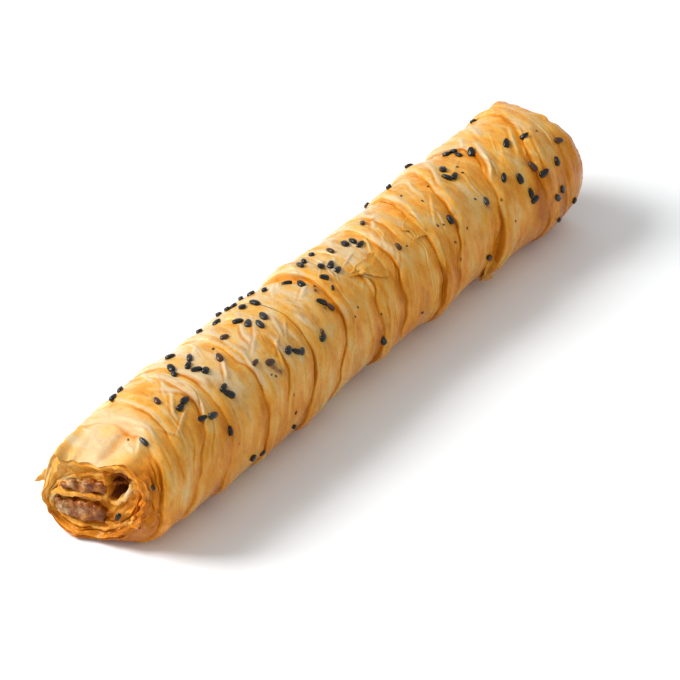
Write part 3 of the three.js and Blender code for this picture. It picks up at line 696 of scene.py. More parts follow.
def sheet_toast(place, turn):
    """How browned the sheet is: most at its rims, least over the near mouth; darker and more orange towards
    its low side except on the back; and painted shade under the near end.
    """
    toast = 0.18 + 0.12 * unevenness(place, turn, 16.0, 7, 21) + 0.14 * unevenness(place, turn, 5.0, 17, 22)
    low_side = 1 - smooth(upward(turn), 0.4, 1.05)
    back_side = smooth(turn, 100, 140) * (1 - smooth(turn, 215, 260))
    toast += 0.25 * low_side * (1 - 0.9 * back_side)
    over_lip = hump(turn - 92, 42)
    toast -= 0.05 * over_lip * smooth(place, 15.0, 9.0)
    toast += 0.10 * smooth(place, 80.0, 140.0) + 0.12 * smooth(place, 178.0, 205.0)
    over_left = hump(turn - 168, 32)
    toast += (0.36 - 0.26 * over_lip - 0.25 * over_left) * hump(place, 2.6) + 0.15 * hump(LENGTH - place, 4)
    # Painted shade: darker under the near end.
    toast += 0.5 * hump(place, 7) * smooth(-upward(turn), 0.3, 0.8)
    toast += 0.46 * hump(place, 5) * hump(turn - 15, 50) + 0.07 * low_side * smooth(place, 45.0, 12.0)
    return toast


def outer_sheet(name, start, stop):
    stations = sheet_stations(start, stop, SHEET_STATIONS)
    is_near, is_far = start == 0.0, stop == LENGTH
    rolls = len(RIM_ROLL)
    steps = len(stations) - 1 + (rolls if is_near or is_far else 0)
    sheet, first, second = laid_grid(name, steps, SHEET_ROUNDS)
    row = np.rint(first * steps).astype(int)
    turn = second * 360.0 - 90.0
    place = stations[np.clip(row - rolls if is_near else row, 0, len(stations) - 1)]
    points, crease, lip, glow = filo(place, turn)
    if is_near or is_far:
        rings = rolls - 1 - row if is_near else row - len(stations)
        roll_rim(points, rings, *((NEAR_MIDDLE, 1.0) if is_near else (FAR_MIDDLE, -1.0)))
    if not is_far:
        under = smooth(place, stop - LAP - 0.5, stop - LAP)[:, None]
        points[:, 1:] -= 0.25 * under * (points[:, 1:] - np.array([0.0, AXIS_HEIGHT])) / RADIUS
    stain = np.zeros_like(place)
    for at, middle, reach in STAINS:
        off = turn_from(turn, middle) * DEGREE_LENGTH
        stain += np.exp(-((points[:, 0] + MIDDLE - at) ** 2 + off * off) / reach ** 2)
    shape_grid(sheet, points)
    marks(sheet, crease=np.clip(crease, 0, 1.6), lip=np.clip(lip, 0, 1.5), glow=np.clip(glow, 0, 1.5),
          toast=sheet_toast(place, turn), stain=stain,
          dull=smooth(place, 17.0, 11.0) * hump(turn - 99, 40, 4))
    close_seam()
    return sheet


def mouth_edge(mouth, middle, bearing):
    rows = sorted(
        (math.degrees(math.atan2(up - middle[1], -(across - middle[0]))) % 360.0,
         math.hypot(up - middle[1], across - middle[0]))
        for across, up in mouth
    )
    return flowing(rows, bearing)


# Open ends in rings and rounds, the mouth's share of the rings, and the hole in the near mouth: middle
# (across, up) and half sizes.
END_RINGS = 124
END_ROUNDS = 250
MOUTH_SHARE = 0.36
HOLE = (-4.0, 20.4, 3.7, 4.7)


def far_hollow(up):
    """How much deeper the far mouth lies towards its top."""
    return 3.5 * smooth(up, 22, 30)


def mouth_plug(y, z, swirl, facing, seed):
    """Where along the roll the crumpled filo in a mouth lies, and the hole in the near one, from 0 to 1."""
    pit = np.zeros_like(y)
    if facing < 0:
        plug = FACE_START + FACE_SLANT * y + 1.9
        off = np.hypot((y - HOLE[0] + 0.28 * (z - HOLE[1])) / HOLE[2], (z - HOLE[1]) / HOLE[3])
        pit = smooth(off, 1.25, 0.8)
        plug += 9.0 * pit
    else:
        plug = LENGTH - 4.6 - far_hollow(z)
    plug += facing * 0.6 * (swirl - 0.5) * (1 - pit)
    plug += 0.5 * unevenness(y + 30, z * 9, 2.3, 29, seed + 6)
    if facing < 0:
        plug -= 1.7 * np.exp(-((y + 5.0) / 3.4) ** 2 - ((z - 10.8) / 2.8) ** 2)
    return plug, pit


def layered_end(name, at, mouth, middle, facing, seed):
    """The rolled layers between an open end's rim and its mouth, and the crumpled filo in the mouth."""
    sheet, first, second = laid_grid(name, END_RINGS, END_ROUNDS)
    turn = second * 360.0 - 90.0
    rim = filo(np.full_like(turn, at), turn)[0]
    bearing = np.degrees(np.arctan2(rim[:, 2] - middle[1], -(rim[:, 1] - middle[0])))
    reach = mouth_edge(mouth, middle, bearing)
    edge_y = middle[0] - np.cos(np.radians(bearing)) * reach
    edge_z = middle[1] + upward(bearing) * reach
    edge_x = rim[:, 0] - facing * 1.4
    face = np.clip((first - MOUTH_SHARE) / (1 - MOUTH_SHARE), 0, 1)
    wander = unevenness(face * 30 + seed, turn, 9.0, 11, seed)
    wander += 0.5 * unevenness(face * 30, turn, 4.0, 27, seed + 1)
    crumple_side = hump(bearing - 5, 48) if facing < 0 else np.zeros_like(face)
    broad_top = hump(bearing - 100, 42) if facing < 0 else np.zeros_like(face)
    layers = (3.2 - 1.5 * crumple_side - 2.2 * broad_top) * face
    layers += (0.5 + 0.3 * crumple_side - 0.4 * broad_top) * wander
    ridge = rolled(layers, 0.7)
    tall = 0.6 + 0.6 * unevenness(np.floor(layers) * 7.0, turn, 5.0, 15, seed + 2)
    tall *= 1 - 0.75 * broad_top - 0.45 * crumple_side
    strips = ridges(face * 8 + 0.03 * turn, turn, 2.3, 25, seed + 7)
    strips += 0.5 * ridges(face * 8 - 0.05 * turn, turn, 1.3, 41, seed + 8)
    ends = smooth(face, 0.0, 0.1) * (1 - 0.75 * smooth(face, 0.88, 1.0))
    pull = 0.5 * unevenness(face * 40, turn, 4.5, 31, seed + 3) * ends
    width = np.hypot(rim[:, 1] - edge_y, rim[:, 2] - edge_z)
    slide = face + pull / np.maximum(width, 1.0)
    bulge = 1.0 if facing < 0 else 0.2
    x = edge_x + (rim[:, 0] - edge_x) * smooth(face, 0.1, 1.0) + facing * (tall * ridge - 0.7) * ends
    x += facing * (bulge * np.sin(np.pi * smooth(face, 0.25, 1.0)) - 0.4 * (1 - ends) * (face > 0.5))
    x += facing * 0.75 * crumple_side * strips * ends
    y = edge_y + (rim[:, 1] - edge_y) * slide
    z = edge_z + (rim[:, 2] - edge_z) * slide
    # Crumpled filo inside the mouth.
    out = np.clip(first / MOUTH_SHARE, 0, 1)
    inside = first < MOUTH_SHARE
    y = np.where(inside, middle[0] + (edge_y - middle[0]) * out, y)
    z = np.where(inside, middle[1] + (edge_z - middle[1]) * out, z)
    swirl = rolled(3.4 * out + turn / 360.0 + 0.5 * unevenness(out * 30, turn, 7.0, 13, seed + 5), 0.6)
    plug, pit = mouth_plug(y, z, swirl, facing, seed)
    settle = smooth(out, 1.0, 0.86)
    x = np.where(inside, edge_x + (plug - MIDDLE - edge_x) * settle, x)
    shape_grid(sheet, np.stack([x, y, np.maximum(z, 0.05)], axis=-1))
    # Painted shade between the layers, in the crumple valleys and in the swirl of the mouth.
    between_layers = (1 - ridge) ** 3 * (1 - 0.6 * broad_top) + crumple_side * np.clip(0.35 - strips, 0, 1)
    groove = np.where(inside, 0.8 * (1 - swirl) ** 2 * (1 - pit), between_layers * ends)
    browned = 0.44 + 0.2 * crumple_side + 0.1 * broad_top + 0.18 * wander - 0.1 * swirl * inside
    # Its first term is painted shade, darker towards the bottom of the end.
    browned += 0.34 * smooth(-upward(bearing), 0.3, 0.9) + 0.3 * hump(bearing + 30, 45) * ~inside
    browned -= 0.15 * smooth(-np.cos(np.radians(bearing)), 0.5, 0.95)
    # Painted highlight on the layers' ridge tops.
    pale = np.where(inside, 0.0, 0.25 * ridge ** 3 * ends)
    # Painted shade: the hole in the near mouth is darkened through the crease shade and stain marks.
    marks(sheet, crease=np.clip(groove * 0.75 + 1.6 * pit, 0, 1.6), lip=pale, glow=0.35,
          stain=4.0 * smooth(pit, 0.0, 0.5), toast=browned)
    close_seam(flip=facing > 0)
    return sheet


# Rolled filo seen in the near mouth: line (across, up), how far back, depth and thickness.
INNER_RIBBONS = [
    ([(-0.2, 24.2), (-0.6, 21), (-0.5, 18), (-0.9, 14.8)], 0.6, 8, 0.5),
    ([(-8.6, 22.4), (-7.6, 19.8), (-6.0, 17.2), (-4.2, 15.2), (-2.0, 14.2)], 0.8, 8, 1.3),
    ([(-10, 12.8), (-8.2, 9.2), (-4.4, 7), (-1, 7.4)], 0.0, 6, 1.0),
    ([(-7.6, 9.8), (-4, 6.4), (1, 5.2), (6, 4.8), (10.5, 5.1), (13.9, 6.8)], 0.2, 6, 1.0),
    ([(15.6, 13.2), (12.7, 14.3), (7.9, 14.8), (2.1, 16.1), (0.2, 16)], -0.7, 7.7, 1.5),
    ([(14.4, 16.0), (11.4, 17.2), (9.2, 18.2), (7.4, 18.8)], 1.0, 6, 1.5),
    ([(15.7, 7.6), (16, 11), (15.2, 14)], 0.0, 6, 1.1),
]
RIBBON_GRAIN = 0.34
PALE_SPOTS = [(-7.2, 19.4), (-5.6, 17.0), (10.5, 17.4), (16, 11.4)]


def ribbon(index, rows, back, depth, thick, facing, lift, at, slant):
    sheet, first, second = laid_grid(f"ribbon_{index}", 56, 14)
    seed = 40 + index * 3
    across, up = along_path(rows, first)
    up = up + lift
    hollow = 0 if facing < 0 else far_hollow(up)
    front = at - facing * (slant * across + back + FACE_START + hollow)
    ruffle = 0.7 * unevenness(first * 40, second * 0 + 10, 3.0, 9, seed)
    ruffle += 0.35 * unevenness(first * 60, second * 0, 1.4, 9, seed)
    ragged = front - facing * (depth * second + ruffle * 0.6 * (1 - second))
    bend = 0.45 * unevenness(first * 30, second * 180.0, 4.0, 7, seed + 1)
    shape_grid(sheet, np.stack([ragged - MIDDLE, across + bend, up + bend + 0.3 * ruffle], axis=-1))
    thicken(sheet, thick)
    return sheet


def join_pieces(pieces, name):
    bpy.ops.object.select_all(action="DESELECT")
    for piece in pieces:
        piece.select_set(True)
    bpy.context.view_layer.objects.active = pieces[0]
    bpy.ops.object.join()
    joined = bpy.context.object
    joined.name = name
    joined.data.name = name
    return joined


def inner_filo(name, facing, at, lift, slant):
    pieces = [ribbon(index, *row, facing, lift, at, slant) for index, row in enumerate(INNER_RIBBONS)]
    swirl = join_pieces(pieces, name)
    points = fused(swirl, RIBBON_GRAIN)
    bearing = np.degrees(np.arctan2(points[:, 2] - 15 - lift, points[:, 1]))
    crumple = unevenness(np.hypot(points[:, 1], points[:, 2] - 15 - lift), bearing, 2.1, 31, 90)
    points[:, 0] -= facing * 0.3 * crumple
    points[:, 1] += 0.1 * unevenness(points[:, 0], bearing, 1.4, 41, 91)
    shape_grid(swirl, points)
    inside = -facing * (points[:, 0] + MIDDLE - at) - FACE_START - slant * points[:, 1]
    pale = spotted(points, PALE_SPOTS, lift, 5.0)
    # Painted shade, darker deeper into the mouth and less on the pale spots, which also get a little painted
    # highlight.
    marks(swirl, crease=np.clip(0.4 * (inside - 0.6) - 0.3 * crumple, 0, 1.3) * (1 - np.clip(pale, 0, 0.9)),
          lip=0.2 * pale, glow=0.3, toast=0.36 - 0.2 * np.clip(pale, 0, 1) - 0.16 * crumple)
    bpy.ops.object.shade_smooth()
    return swirl


# Loose flaps on the sheet: tip and root (place, turn), half width at the root, tip share, lift and toast.
FLAPS = [
    ((110.6, 66), (122.5, 59), (0.5, 15), 0.06, 0.5, 0.62),
    ((136.5, 66), (143.0, 68), (1.0, 15), 0.6, 0.3, 0.58),
    ((168.0, -46), (167.2, -22), (2.6, 2), 0.55, 1.0, 0.5),
    ((48.0, 168), (57.0, 160), (0.8, 17), 0.1, 0.5, 0.45),
    ((128.0, 196), (137.0, 190), (0.8, 16), 0.15, 0.5, 0.4),
    ((184.0, 158), (193.0, 166), (1.0, 14), 0.1, 0.5, 0.5),
    ((88.0, 214), (84.0, 186), (3.0, 3), 0.15, 0.5, 0.3),
    ((20.0, 200), (28.0, 206), (0.8, 15), 0.1, 0.5, 0.5),
]
FLAP_WALL = 0.22


def loose_flap(index, tip, root, half, tip_share, lift, toast):
    sheet, first, second = laid_grid(f"flap_{index}", 44, 30)
    side = second * 2 - 1
    spread_out = tip_share + (1 - tip_share) * first ** 0.75
    ragged = 1 + 0.3 * unevenness(first * 30, side * 40 + 90, 6.0, 9, 300 + index)
    place = tip[0] + (root[0] - tip[0]) * first + half[0] * side * spread_out * ragged
    turn = tip[1] + (root[1] - tip[1]) * first + half[1] * side * spread_out * ragged
    torn = 0.24 * unevenness(second * 40, first * 0, 7.0, 5, 320 + index) * (1 - first) ** 2
    place += torn * (root[0] - tip[0])
    turn += torn * (root[1] - tip[1])
    points, normal, _, _ = seats(before_lean(place, turn), turn)
    free = np.clip((1 - first) ** 1.5 + 0.5 * side ** 4, 0, 1.2)
    sunk = smooth(first, 0.8, 1.0) * 0.45
    wave = 0.12 * unevenness(first * 20, side * 60 + 90, 3.0, 7, 340 + index)
    shape_grid(sheet, points + normal * (0.12 + lift * free + wave * (1 - first) - sunk)[:, None])
    browned = 0.08 * smooth(place, 80, 140) + 0.6 * toast
    browned += 0.2 * unevenness(first * 30, side * 50 + 90, 5.0, 9, 360 + index)
    # Painted shade at the root, where the flap meets the sheet, and painted highlight towards its free edge.
    marks(sheet, crease=0.2 * smooth(first, 0.75, 1.0), lip=0.1 * free, glow=0.1, toast=browned)
    thicken(sheet, FLAP_WALL)
    bpy.ops.object.shade_smooth()
    return sheet


def loose_flaps():
    return join_pieces([loose_flap(index, *row) for index, row in enumerate(FLAPS)], "filo_flaps")


# Mince: a band through the roll with crumbs at both open ends.
def crumb_copies(spots, sizes, seed):
    """Copies of one faceted crumb at the spots, each turned and squashed its own way."""
    corners, faces = pattern_shape(bpy.ops.mesh.primitive_ico_sphere_add, subdivisions=2, radius=1.0)
    draw = np.random.default_rng(seed)
    all_corners, all_faces = [], []
    for spot, size in zip(spots, sizes):
        lumpy = corners * (1 + 0.22 * np.sin(corners[:, [1, 2, 0]] * draw.uniform(2, 4) + draw.uniform(0, 6)))
        turned = Matrix.Rotation(draw.uniform(0, 6.3), 3, Vector(draw.normal(size=3)))
        squash = np.diag(draw.uniform(0.7, 1.25, 3))
        all_faces.append(np.array(faces) + len(all_corners) * len(corners))
        all_corners.append(lumpy @ squash @ np.array(turned).T * size + spot)
    return array_piece("crumbs", np.concatenate(all_corners), np.concatenate(all_faces).tolist())


def band_skin():
    """The band of mince without its crumbs."""
    sheet, first, second = laid_grid("mince", BAND_LENGTHS, BAND_ROUNDS)
    share = np.where(second <= 0.5, second * 2, 2 - second * 2)
    side = np.where(second <= 0.5, 1.0, -1.0)
    share_in = 0.02 + 0.96 * share
    across, up = along_path(BAND_LINE, share_in)
    across_next, up_next = along_path(BAND_LINE, np.clip(share_in + 0.01, 0, 1))
    across_last, up_last = along_path(BAND_LINE, np.clip(share_in - 0.01, 0, 1))
    run = np.stack([across_next - across_last, up_next - up_last])
    run /= np.linalg.norm(run, axis=0)
    tip = np.sqrt(np.clip(1 - (2 * share - 1) ** 6, 0, 1))
    thick = eased(BAND_THICK, share) * tip
    across = across - run[1] * thick * side
    up = up + run[0] * thick * side
    near_face = FACE_START + FACE_SLANT * across + 1.1 + 10.0 * hump(share - 0.56, 0.16)
    far_face = LENGTH - FAR_FACE - FACE_SLANT * across * 0.3
    along = near_face + (far_face - near_face) * first
    height = BAND_HEIGHT + BAND_RISE * smooth(along, 0.0, LENGTH / 3)
    grain = 0.35 * unevenness(along, second * 360.0, 2.2, 31, 60)
    shape_grid(sheet, np.stack([along - MIDDLE, across + grain, up + height + grain], axis=-1))
    bpy.ops.object.mode_set(mode="EDIT")
    bpy.ops.mesh.select_all(action="SELECT")
    bpy.ops.mesh.remove_doubles(threshold=SEAM_GAP)
    bpy.ops.mesh.select_all(action="DESELECT")
    bpy.ops.mesh.select_mode(type="EDGE")
    bpy.ops.mesh.select_non_manifold()
    bpy.ops.mesh.edge_face_add()
    bpy.ops.mesh.select_all(action="SELECT")
    bpy.ops.mesh.normals_make_consistent(inside=False)
    bpy.ops.object.mode_set(mode="OBJECT")
    return sheet


def crumb_spots():
    """Seeded points and sizes of the crumbs at both open ends."""
    draw = np.random.default_rng(7)
    spots, sizes = [], []
    for near in (True, False):
        for _ in range(END_CRUMBS):
            share = draw.uniform(0.03, 0.97)
            if near and 0.37 < share < 0.76:
                share = share * 0.48
            across, up = (float(v) for v in along_path(BAND_LINE, np.array(share)))
            half = float(eased(BAND_THICK, np.array(share)))
            across += draw.uniform(-0.75, 0.75) * half
            up += draw.uniform(-0.75, 0.75) * half
            size = draw.uniform(0.45, 1.15)
            if near:
                face, height = FACE_START + FACE_SLANT * across + draw.uniform(0.0, 1.5), BAND_HEIGHT
            else:
                face = LENGTH - FAR_FACE - FACE_SLANT * across * 0.3 - draw.uniform(-0.6, 1.2)
                height = BAND_HEIGHT + BAND_RISE
            spots.append((face - MIDDLE, across, height + up))
            sizes.append(size)
    for _ in range(TIP_CRUMBS):
        across = draw.uniform(8.5, 13.2)
        up = 17.9 - 0.35 * (across - 8.5) + draw.uniform(-0.7, 0.9)
        spots.append((FACE_START + FACE_SLANT * across + draw.uniform(-0.1, 0.7) - MIDDLE, across, up))
        sizes.append(draw.uniform(0.5, 0.95))
    return np.array(spots), sizes


def mince_band():
    mince = join_pieces([band_skin(), crumb_copies(*crumb_spots(), 8)], "mince")
    points = fused(mince, MINCE_GRAIN)
    lift = BAND_RISE * smooth(points[:, 0] + MIDDLE, 0.0, LENGTH / 3)
    marks(mince, fat=np.clip(spotted(points, FAT_SPOTS, lift, 1.4), 0, 1))
    bpy.ops.object.shade_smooth()
    return mince


# Seeds, each a copy of one drop-shaped seed.
def seed_pattern():
    ball = bpy.ops.mesh.primitive_uv_sphere_add
    corners, faces = pattern_shape(ball, segments=10, ring_count=7, radius=0.5)
    corners = corners[:, [2, 0, 1]]
    corners = 0.5 * np.sign(corners) * np.abs(2 * corners) ** np.array([0.78, 0.62, 0.62])
    taper = 1.0 - 0.26 * smooth(corners[:, 0], -0.05, 0.5)
    corners[:, 1] *= 0.58 * taper
    corners[:, 2] *= 0.40 * taper
    return corners, faces


def seed_row(place, turn, heading, shade=0, size=1):
    return place - SEED_BACK, turn - SEED_DOWN, heading, shade, size


def seed_spots(draw):
    """Rows of all seeds and specks, and each one's point, normal and directions along and round the roll."""
    rows = [seed_row(*seed) for seed in SEEDS]
    for speck in SPECKS:
        rows.append(seed_row(*speck, draw.uniform(0, 180), 2, draw.uniform(0.24, 0.36)))
    for _ in range(BACK_SEEDS):
        place, turn = draw.uniform(18, 200), draw.uniform(158, 173)
        rows.append((place, turn, draw.uniform(0, 180), draw.integers(0, 2), 1.0))
    turns = np.array([row[1] for row in rows], float)
    spots = seats(before_lean([row[0] for row in rows], turns), turns)
    mouth_point, mouth_normal, mouth_heading, mouth_size = MOUTH_SEED
    mouth_point, mouth_normal = np.array(mouth_point) - np.array([MIDDLE, 0, 0]), np.array(mouth_normal)
    mouth_along = np.cross(mouth_normal, [0, 0, 1])
    rows.append((0, 0, mouth_heading, 0, mouth_size))
    mouth_spot = (mouth_point, mouth_normal, mouth_along, np.cross(mouth_normal, mouth_along))
    spots = [np.vstack([found, extra]) for found, extra in zip(spots, mouth_spot)]
    return rows, spots


def scatter_seeds():
    corners, faces = seed_pattern()
    draw = np.random.default_rng(20)
    rows, spots = seed_spots(draw)
    all_corners, all_faces, shades = [], [], []
    for (_, _, heading, shade, size), point, normal, along, round_way in zip(rows, *spots):
        head = math.radians(heading)
        length = along * math.cos(head) + round_way * math.sin(head)
        width = np.cross(normal, length)
        stretch = np.array([draw.uniform(0.88, 1.06), draw.uniform(0.76, 1.12), 1.0])
        grown = corners * SEED_LENGTH * size * stretch
        tilt = draw.uniform(-0.16, 0.16)
        up = grown[:, 2:] + grown[:, :1] * tilt
        start = len(all_corners) * len(corners)
        seat = point + normal * (0.3 if size > 0.5 else 0.1)
        all_corners.append(seat + grown[:, :1] * length + grown[:, 1:2] * width + up * normal)
        all_faces += [tuple(start + corner for corner in face) for face in faces]
        shades.append(np.full(len(corners), shade * 0.5 + draw.uniform(-0.06, 0.06)))
    points = np.concatenate(all_corners)
    points[:, 1] = kept_below(points[:, 1], *SEED_LIMIT)
    seeds = array_piece("seeds", points, all_faces)
    marks(seeds, shade=np.concatenate(shades))
    bpy.ops.object.select_all(action="DESELECT")
    seeds.select_set(True)
    bpy.context.view_layer.objects.active = seeds
    bpy.ops.object.mode_set(mode="EDIT")
    bpy.ops.mesh.select_all(action="SELECT")
    bpy.ops.mesh.normals_make_consistent(inside=False)
    bpy.ops.object.mode_set(mode="OBJECT")
    bpy.ops.object.shade_smooth()
    return seeds


# Pointed flake that stands off the near end.
FLAKE_WALL = 0.35


def pointed_flake():
    sheet, first, second = laid_grid("pointed_flake", 28, 10)
    root, tip = np.array([0.9, 15.4, 18.8]), np.array([-4.3, 19.9, 16.5])
    side = np.array([0.1, 0.35, 0.93])
    spine = root + (tip - root) * first[:, None]
    half = 2.4 * (1 - first ** 1.3) * (1 + 0.2 * np.sin(first * 17))
    cup = 0.8 * (second * 2 - 1) ** 2 * (1 - first) + 0.5 * np.sin(first * 3.1)
    points = spine + (half * (second * 2 - 1))[:, None] * side + cup[:, None] * np.array([0.3, 0.9, -0.2])
    points[:, 0] -= MIDDLE
    shape_grid(sheet, points)
    # Painted shade at the root and painted highlight towards the tip.
    marks(sheet, crease=0.2 * (1 - first), lip=0.4 * first, glow=0.3, toast=0.22 + 0.2 * first)
    thicken(sheet, FLAKE_WALL)
    bpy.ops.object.shade_smooth()
    return sheet


# Materials.
class Finish:
    """A material laid up node by node on one shader."""

    def __init__(self, name):
        self.material = bpy.data.materials.new(name)
        self.material.use_nodes = True
        self.tree = self.material.node_tree
        self.tree.nodes.clear()
        output = self.tree.nodes.new("ShaderNodeOutputMaterial")
        self.shader = self.tree.nodes.new("ShaderNodeBsdfPrincipled")
        self.tree.links.new(self.shader.outputs["BSDF"], output.inputs["Surface"])

    def fill(self, node, sockets):
        """Puts a value or a link in each socket of a node."""
        for name, value in sockets.items():
            if isinstance(value, bpy.types.NodeSocket):
                self.tree.links.new(value, node.inputs[name])
            else:
                node.inputs[name].default_value = value
        return node

    def node(self, kind, sockets):
        return self.fill(self.tree.nodes.new(kind), sockets)

    def coat(self, sockets):
        self.fill(self.shader, sockets)
        return self.material

    def mark(self, name):
        node = self.tree.nodes.new("ShaderNodeAttribute")
        node.attribute_name = name
        return node.outputs["Fac"]

    def place(self):
        return self.tree.nodes.new("ShaderNodeTexCoord").outputs["Object"]

    def noise(self, scale, detail, roughness, stretch=(1, 1, 1)):
        mapping = self.node("ShaderNodeMapping", {"Vector": self.place(), "Scale": stretch})
        grain = self.node("ShaderNodeTexNoise", {"Scale": scale, "Detail": detail, "Roughness": roughness})
        self.fill(grain, {"Vector": mapping.outputs["Vector"]})
        return grain.outputs["Fac"]

    def sums(self, operation, first, second, clamp=False):
        node = self.node("ShaderNodeMath", {0: first, 1: second})
        node.operation = operation
        node.use_clamp = clamp
        return node.outputs["Value"]

    def plus(self, first, second):
        return self.sums("ADD", first, second)

    def minus(self, first, second):
        return self.sums("SUBTRACT", first, second)

    def times(self, first, second):
        return self.sums("MULTIPLY", first, second)

    def varied(self, grain, amount):
        return self.times(self.minus(grain, 0.5), amount)

    def spread(self, value, low, high, to_low=0.0, to_high=1.0):
        limits = {"From Min": low, "From Max": high, "To Min": to_low, "To Max": to_high}
        return self.node("ShaderNodeMapRange", {"Value": value, **limits}).outputs["Result"]

    def ramp(self, value, stops):
        node = self.node("ShaderNodeValToRGB", {"Fac": value})
        elements = node.color_ramp.elements
        elements[0].position, elements[0].color = stops[0][0], (*stops[0][1], 1)
        elements[1].position, elements[1].color = stops[-1][0], (*stops[-1][1], 1)
        for position, colour in stops[1:-1]:
            elements.new(position).color = (*colour, 1)
        return node.outputs["Color"]

    def mixed(self, share, colour, other):
        node = self.tree.nodes.new("ShaderNodeMix")
        node.data_type = "RGBA"
        first, second = [spot for spot, socket in enumerate(node.inputs) if socket.type == "RGBA"]
        self.fill(node, {"Factor": share, first: colour, second: (*other, 1)})
        return [socket for socket in node.outputs if socket.type == "RGBA"][0]

    def bumped(self, height, distance, strength):
        bump = self.node("ShaderNodeBump", {"Strength": strength, "Distance": distance, "Height": height})
        return bump.outputs["Normal"]


def baked_filo():
    finish = Finish("baked_filo")
    toasted, lip, dull = finish.mark("toast"), finish.mark("lip"), finish.mark("dull")
    patches = finish.noise(110, 4, 0.6, (1, 0.5, 0.5))
    streaks = finish.noise(330, 4, 0.6, (1, 0.36, 0.36))
    mottle = finish.noise(1500, 3, 0.6)
    calm = finish.spread(dull, 0.0, 1.0, 1.0, 0.55)
    varied = finish.plus(finish.varied(patches, 0.7), finish.varied(streaks, 1.1))
    varied = finish.plus(varied, finish.varied(mottle, 0.3))
    toast = finish.plus(toasted, finish.times(varied, calm))
    # More amber where the glow mark is: partly the real amber where layers double, partly painted glow and
    # shade.
    toast = finish.plus(toast, finish.times(finish.mark("glow"), 0.34))
    # Paler where the lip mark is: painted highlight.
    toast = finish.minus(toast, finish.times(lip, 0.5))
    toast = finish.sums("MAXIMUM", toast, finish.minus(toasted, 0.25))
    colour = finish.ramp(toast, [
        (0.00, (0.67, 0.495, 0.280)), (0.20, (0.70, 0.420, 0.120)), (0.40, (0.745, 0.350, 0.045)),
        (0.65, (0.665, 0.236, 0.013)), (1.00, (0.43, 0.120, 0.004)),
    ])
    # The crease mark as a line of painted shade, dark orange-brown.
    line = finish.times(finish.mark("crease"), finish.spread(streaks, 0.2, 0.8, 0.6, 1.3))
    line = finish.spread(line, 0.12, 1.25)
    amber = finish.spread(finish.noise(240, 4, 0.6, (1, 0.4, 0.4)), 0.53, 0.64, 0.0, 0.65)
    amber = finish.times(amber, finish.spread(lip, 0.1, 0.5, 1.0, 0.2))
    colour = finish.mixed(finish.times(amber, calm), colour, (0.575, 0.23, 0.018))
    colour = finish.mixed(finish.spread(dull, 0.0, 1.0, 0.0, 0.45), colour, (0.56, 0.39, 0.20))
    colour = finish.mixed(line, colour, (0.51, 0.165, 0.009))
    blotches = finish.spread(finish.noise(620, 3, 0.6, (1, 0.6, 0.6)), 0.54, 0.70, 0.0, 0.4)
    blotches = finish.times(blotches, finish.spread(finish.noise(130, 2, 0.5), 0.45, 0.6))
    colour = finish.mixed(blotches, colour, (0.40, 0.14, 0.014))
    spots = finish.node("ShaderNodeTexVoronoi", {"Vector": finish.place(), "Scale": 230})
    chosen = finish.node("ShaderNodeSeparateColor", {"Color": spots.outputs["Color"]})
    fleck = finish.times(finish.spread(spots.outputs["Distance"], 0.10, 0.17, 1.0, 0.0),
                         finish.spread(chosen.outputs["Red"], 0.955, 0.97))
    colour = finish.mixed(finish.times(fleck, 0.8), colour, (0.16, 0.055, 0.015))
    # Real stains on the sheet, and painted shade in the near mouth's hole, from one mark.
    patchy = finish.spread(finish.noise(800, 3, 0.6, (1, 0.5, 0.5)), 0.40, 0.60, 0.2, 0.9)
    stain = finish.sums("MULTIPLY", finish.mark("stain"), patchy, clamp=True)
    colour = finish.mixed(stain, colour, (0.20, 0.054, 0.013))
    shine = finish.spread(line, 0.0, 0.6, 0.58, 0.06)
    shine = finish.times(shine, finish.spread(toasted, 0.3, 0.55, 1.0, 0.55))
    shine = finish.times(shine, finish.spread(dull, 0.0, 1.0, 1.0, 0.3))
    wrinkles = finish.noise(300, 3, 0.5, (1, 0.5, 0.5))
    height = finish.plus(wrinkles, finish.times(finish.noise(1700, 3, 0.6), 0.2))
    return finish.coat({
        "Base Color": colour, "Roughness": finish.spread(streaks, 0.3, 0.7, 0.17, 0.38),
        "Specular Tint": (1.0, 0.78, 0.46, 1), "Specular IOR Level": shine,
        "Subsurface Weight": 0.2, "Subsurface Radius": (1.0, 0.4, 0.12), "Subsurface Scale": 0.0014,
        "Normal": finish.bumped(height, 0.0006, 0.8),
    })


def cooked_mince():
    finish = Finish("cooked_mince")
    lumps = finish.noise(420, 4, 0.6)
    grains = finish.noise(1500, 3, 0.6)
    blend = finish.plus(finish.times(lumps, 0.7), finish.times(grains, 0.3))
    colour = finish.ramp(blend, [
        (0.32, (0.050, 0.009, 0.001)), (0.43, (0.16, 0.034, 0.003)), (0.53, (0.27, 0.070, 0.006)),
        (0.66, (0.52, 0.22, 0.042)),
    ])
    # Pale spots: partly fat, partly painted glints.
    pale = finish.times(finish.mark("fat"), finish.spread(grains, 0.35, 0.6, 0.2, 0.9))
    return finish.coat({
        "Base Color": finish.mixed(pale, colour, (0.68, 0.45, 0.22)),
        "Roughness": finish.spread(grains, 0.3, 0.7, 0.16, 0.42),
        "Subsurface Weight": 0.1, "Subsurface Radius": (1.0, 0.35, 0.2), "Subsurface Scale": 0.0012,
        "Specular Tint": (1.0, 0.72, 0.45, 1), "Specular IOR Level": 0.4,
        "Coat Weight": 0.16, "Coat Roughness": 0.12, "Normal": finish.bumped(blend, 0.0006, 0.9),
    })


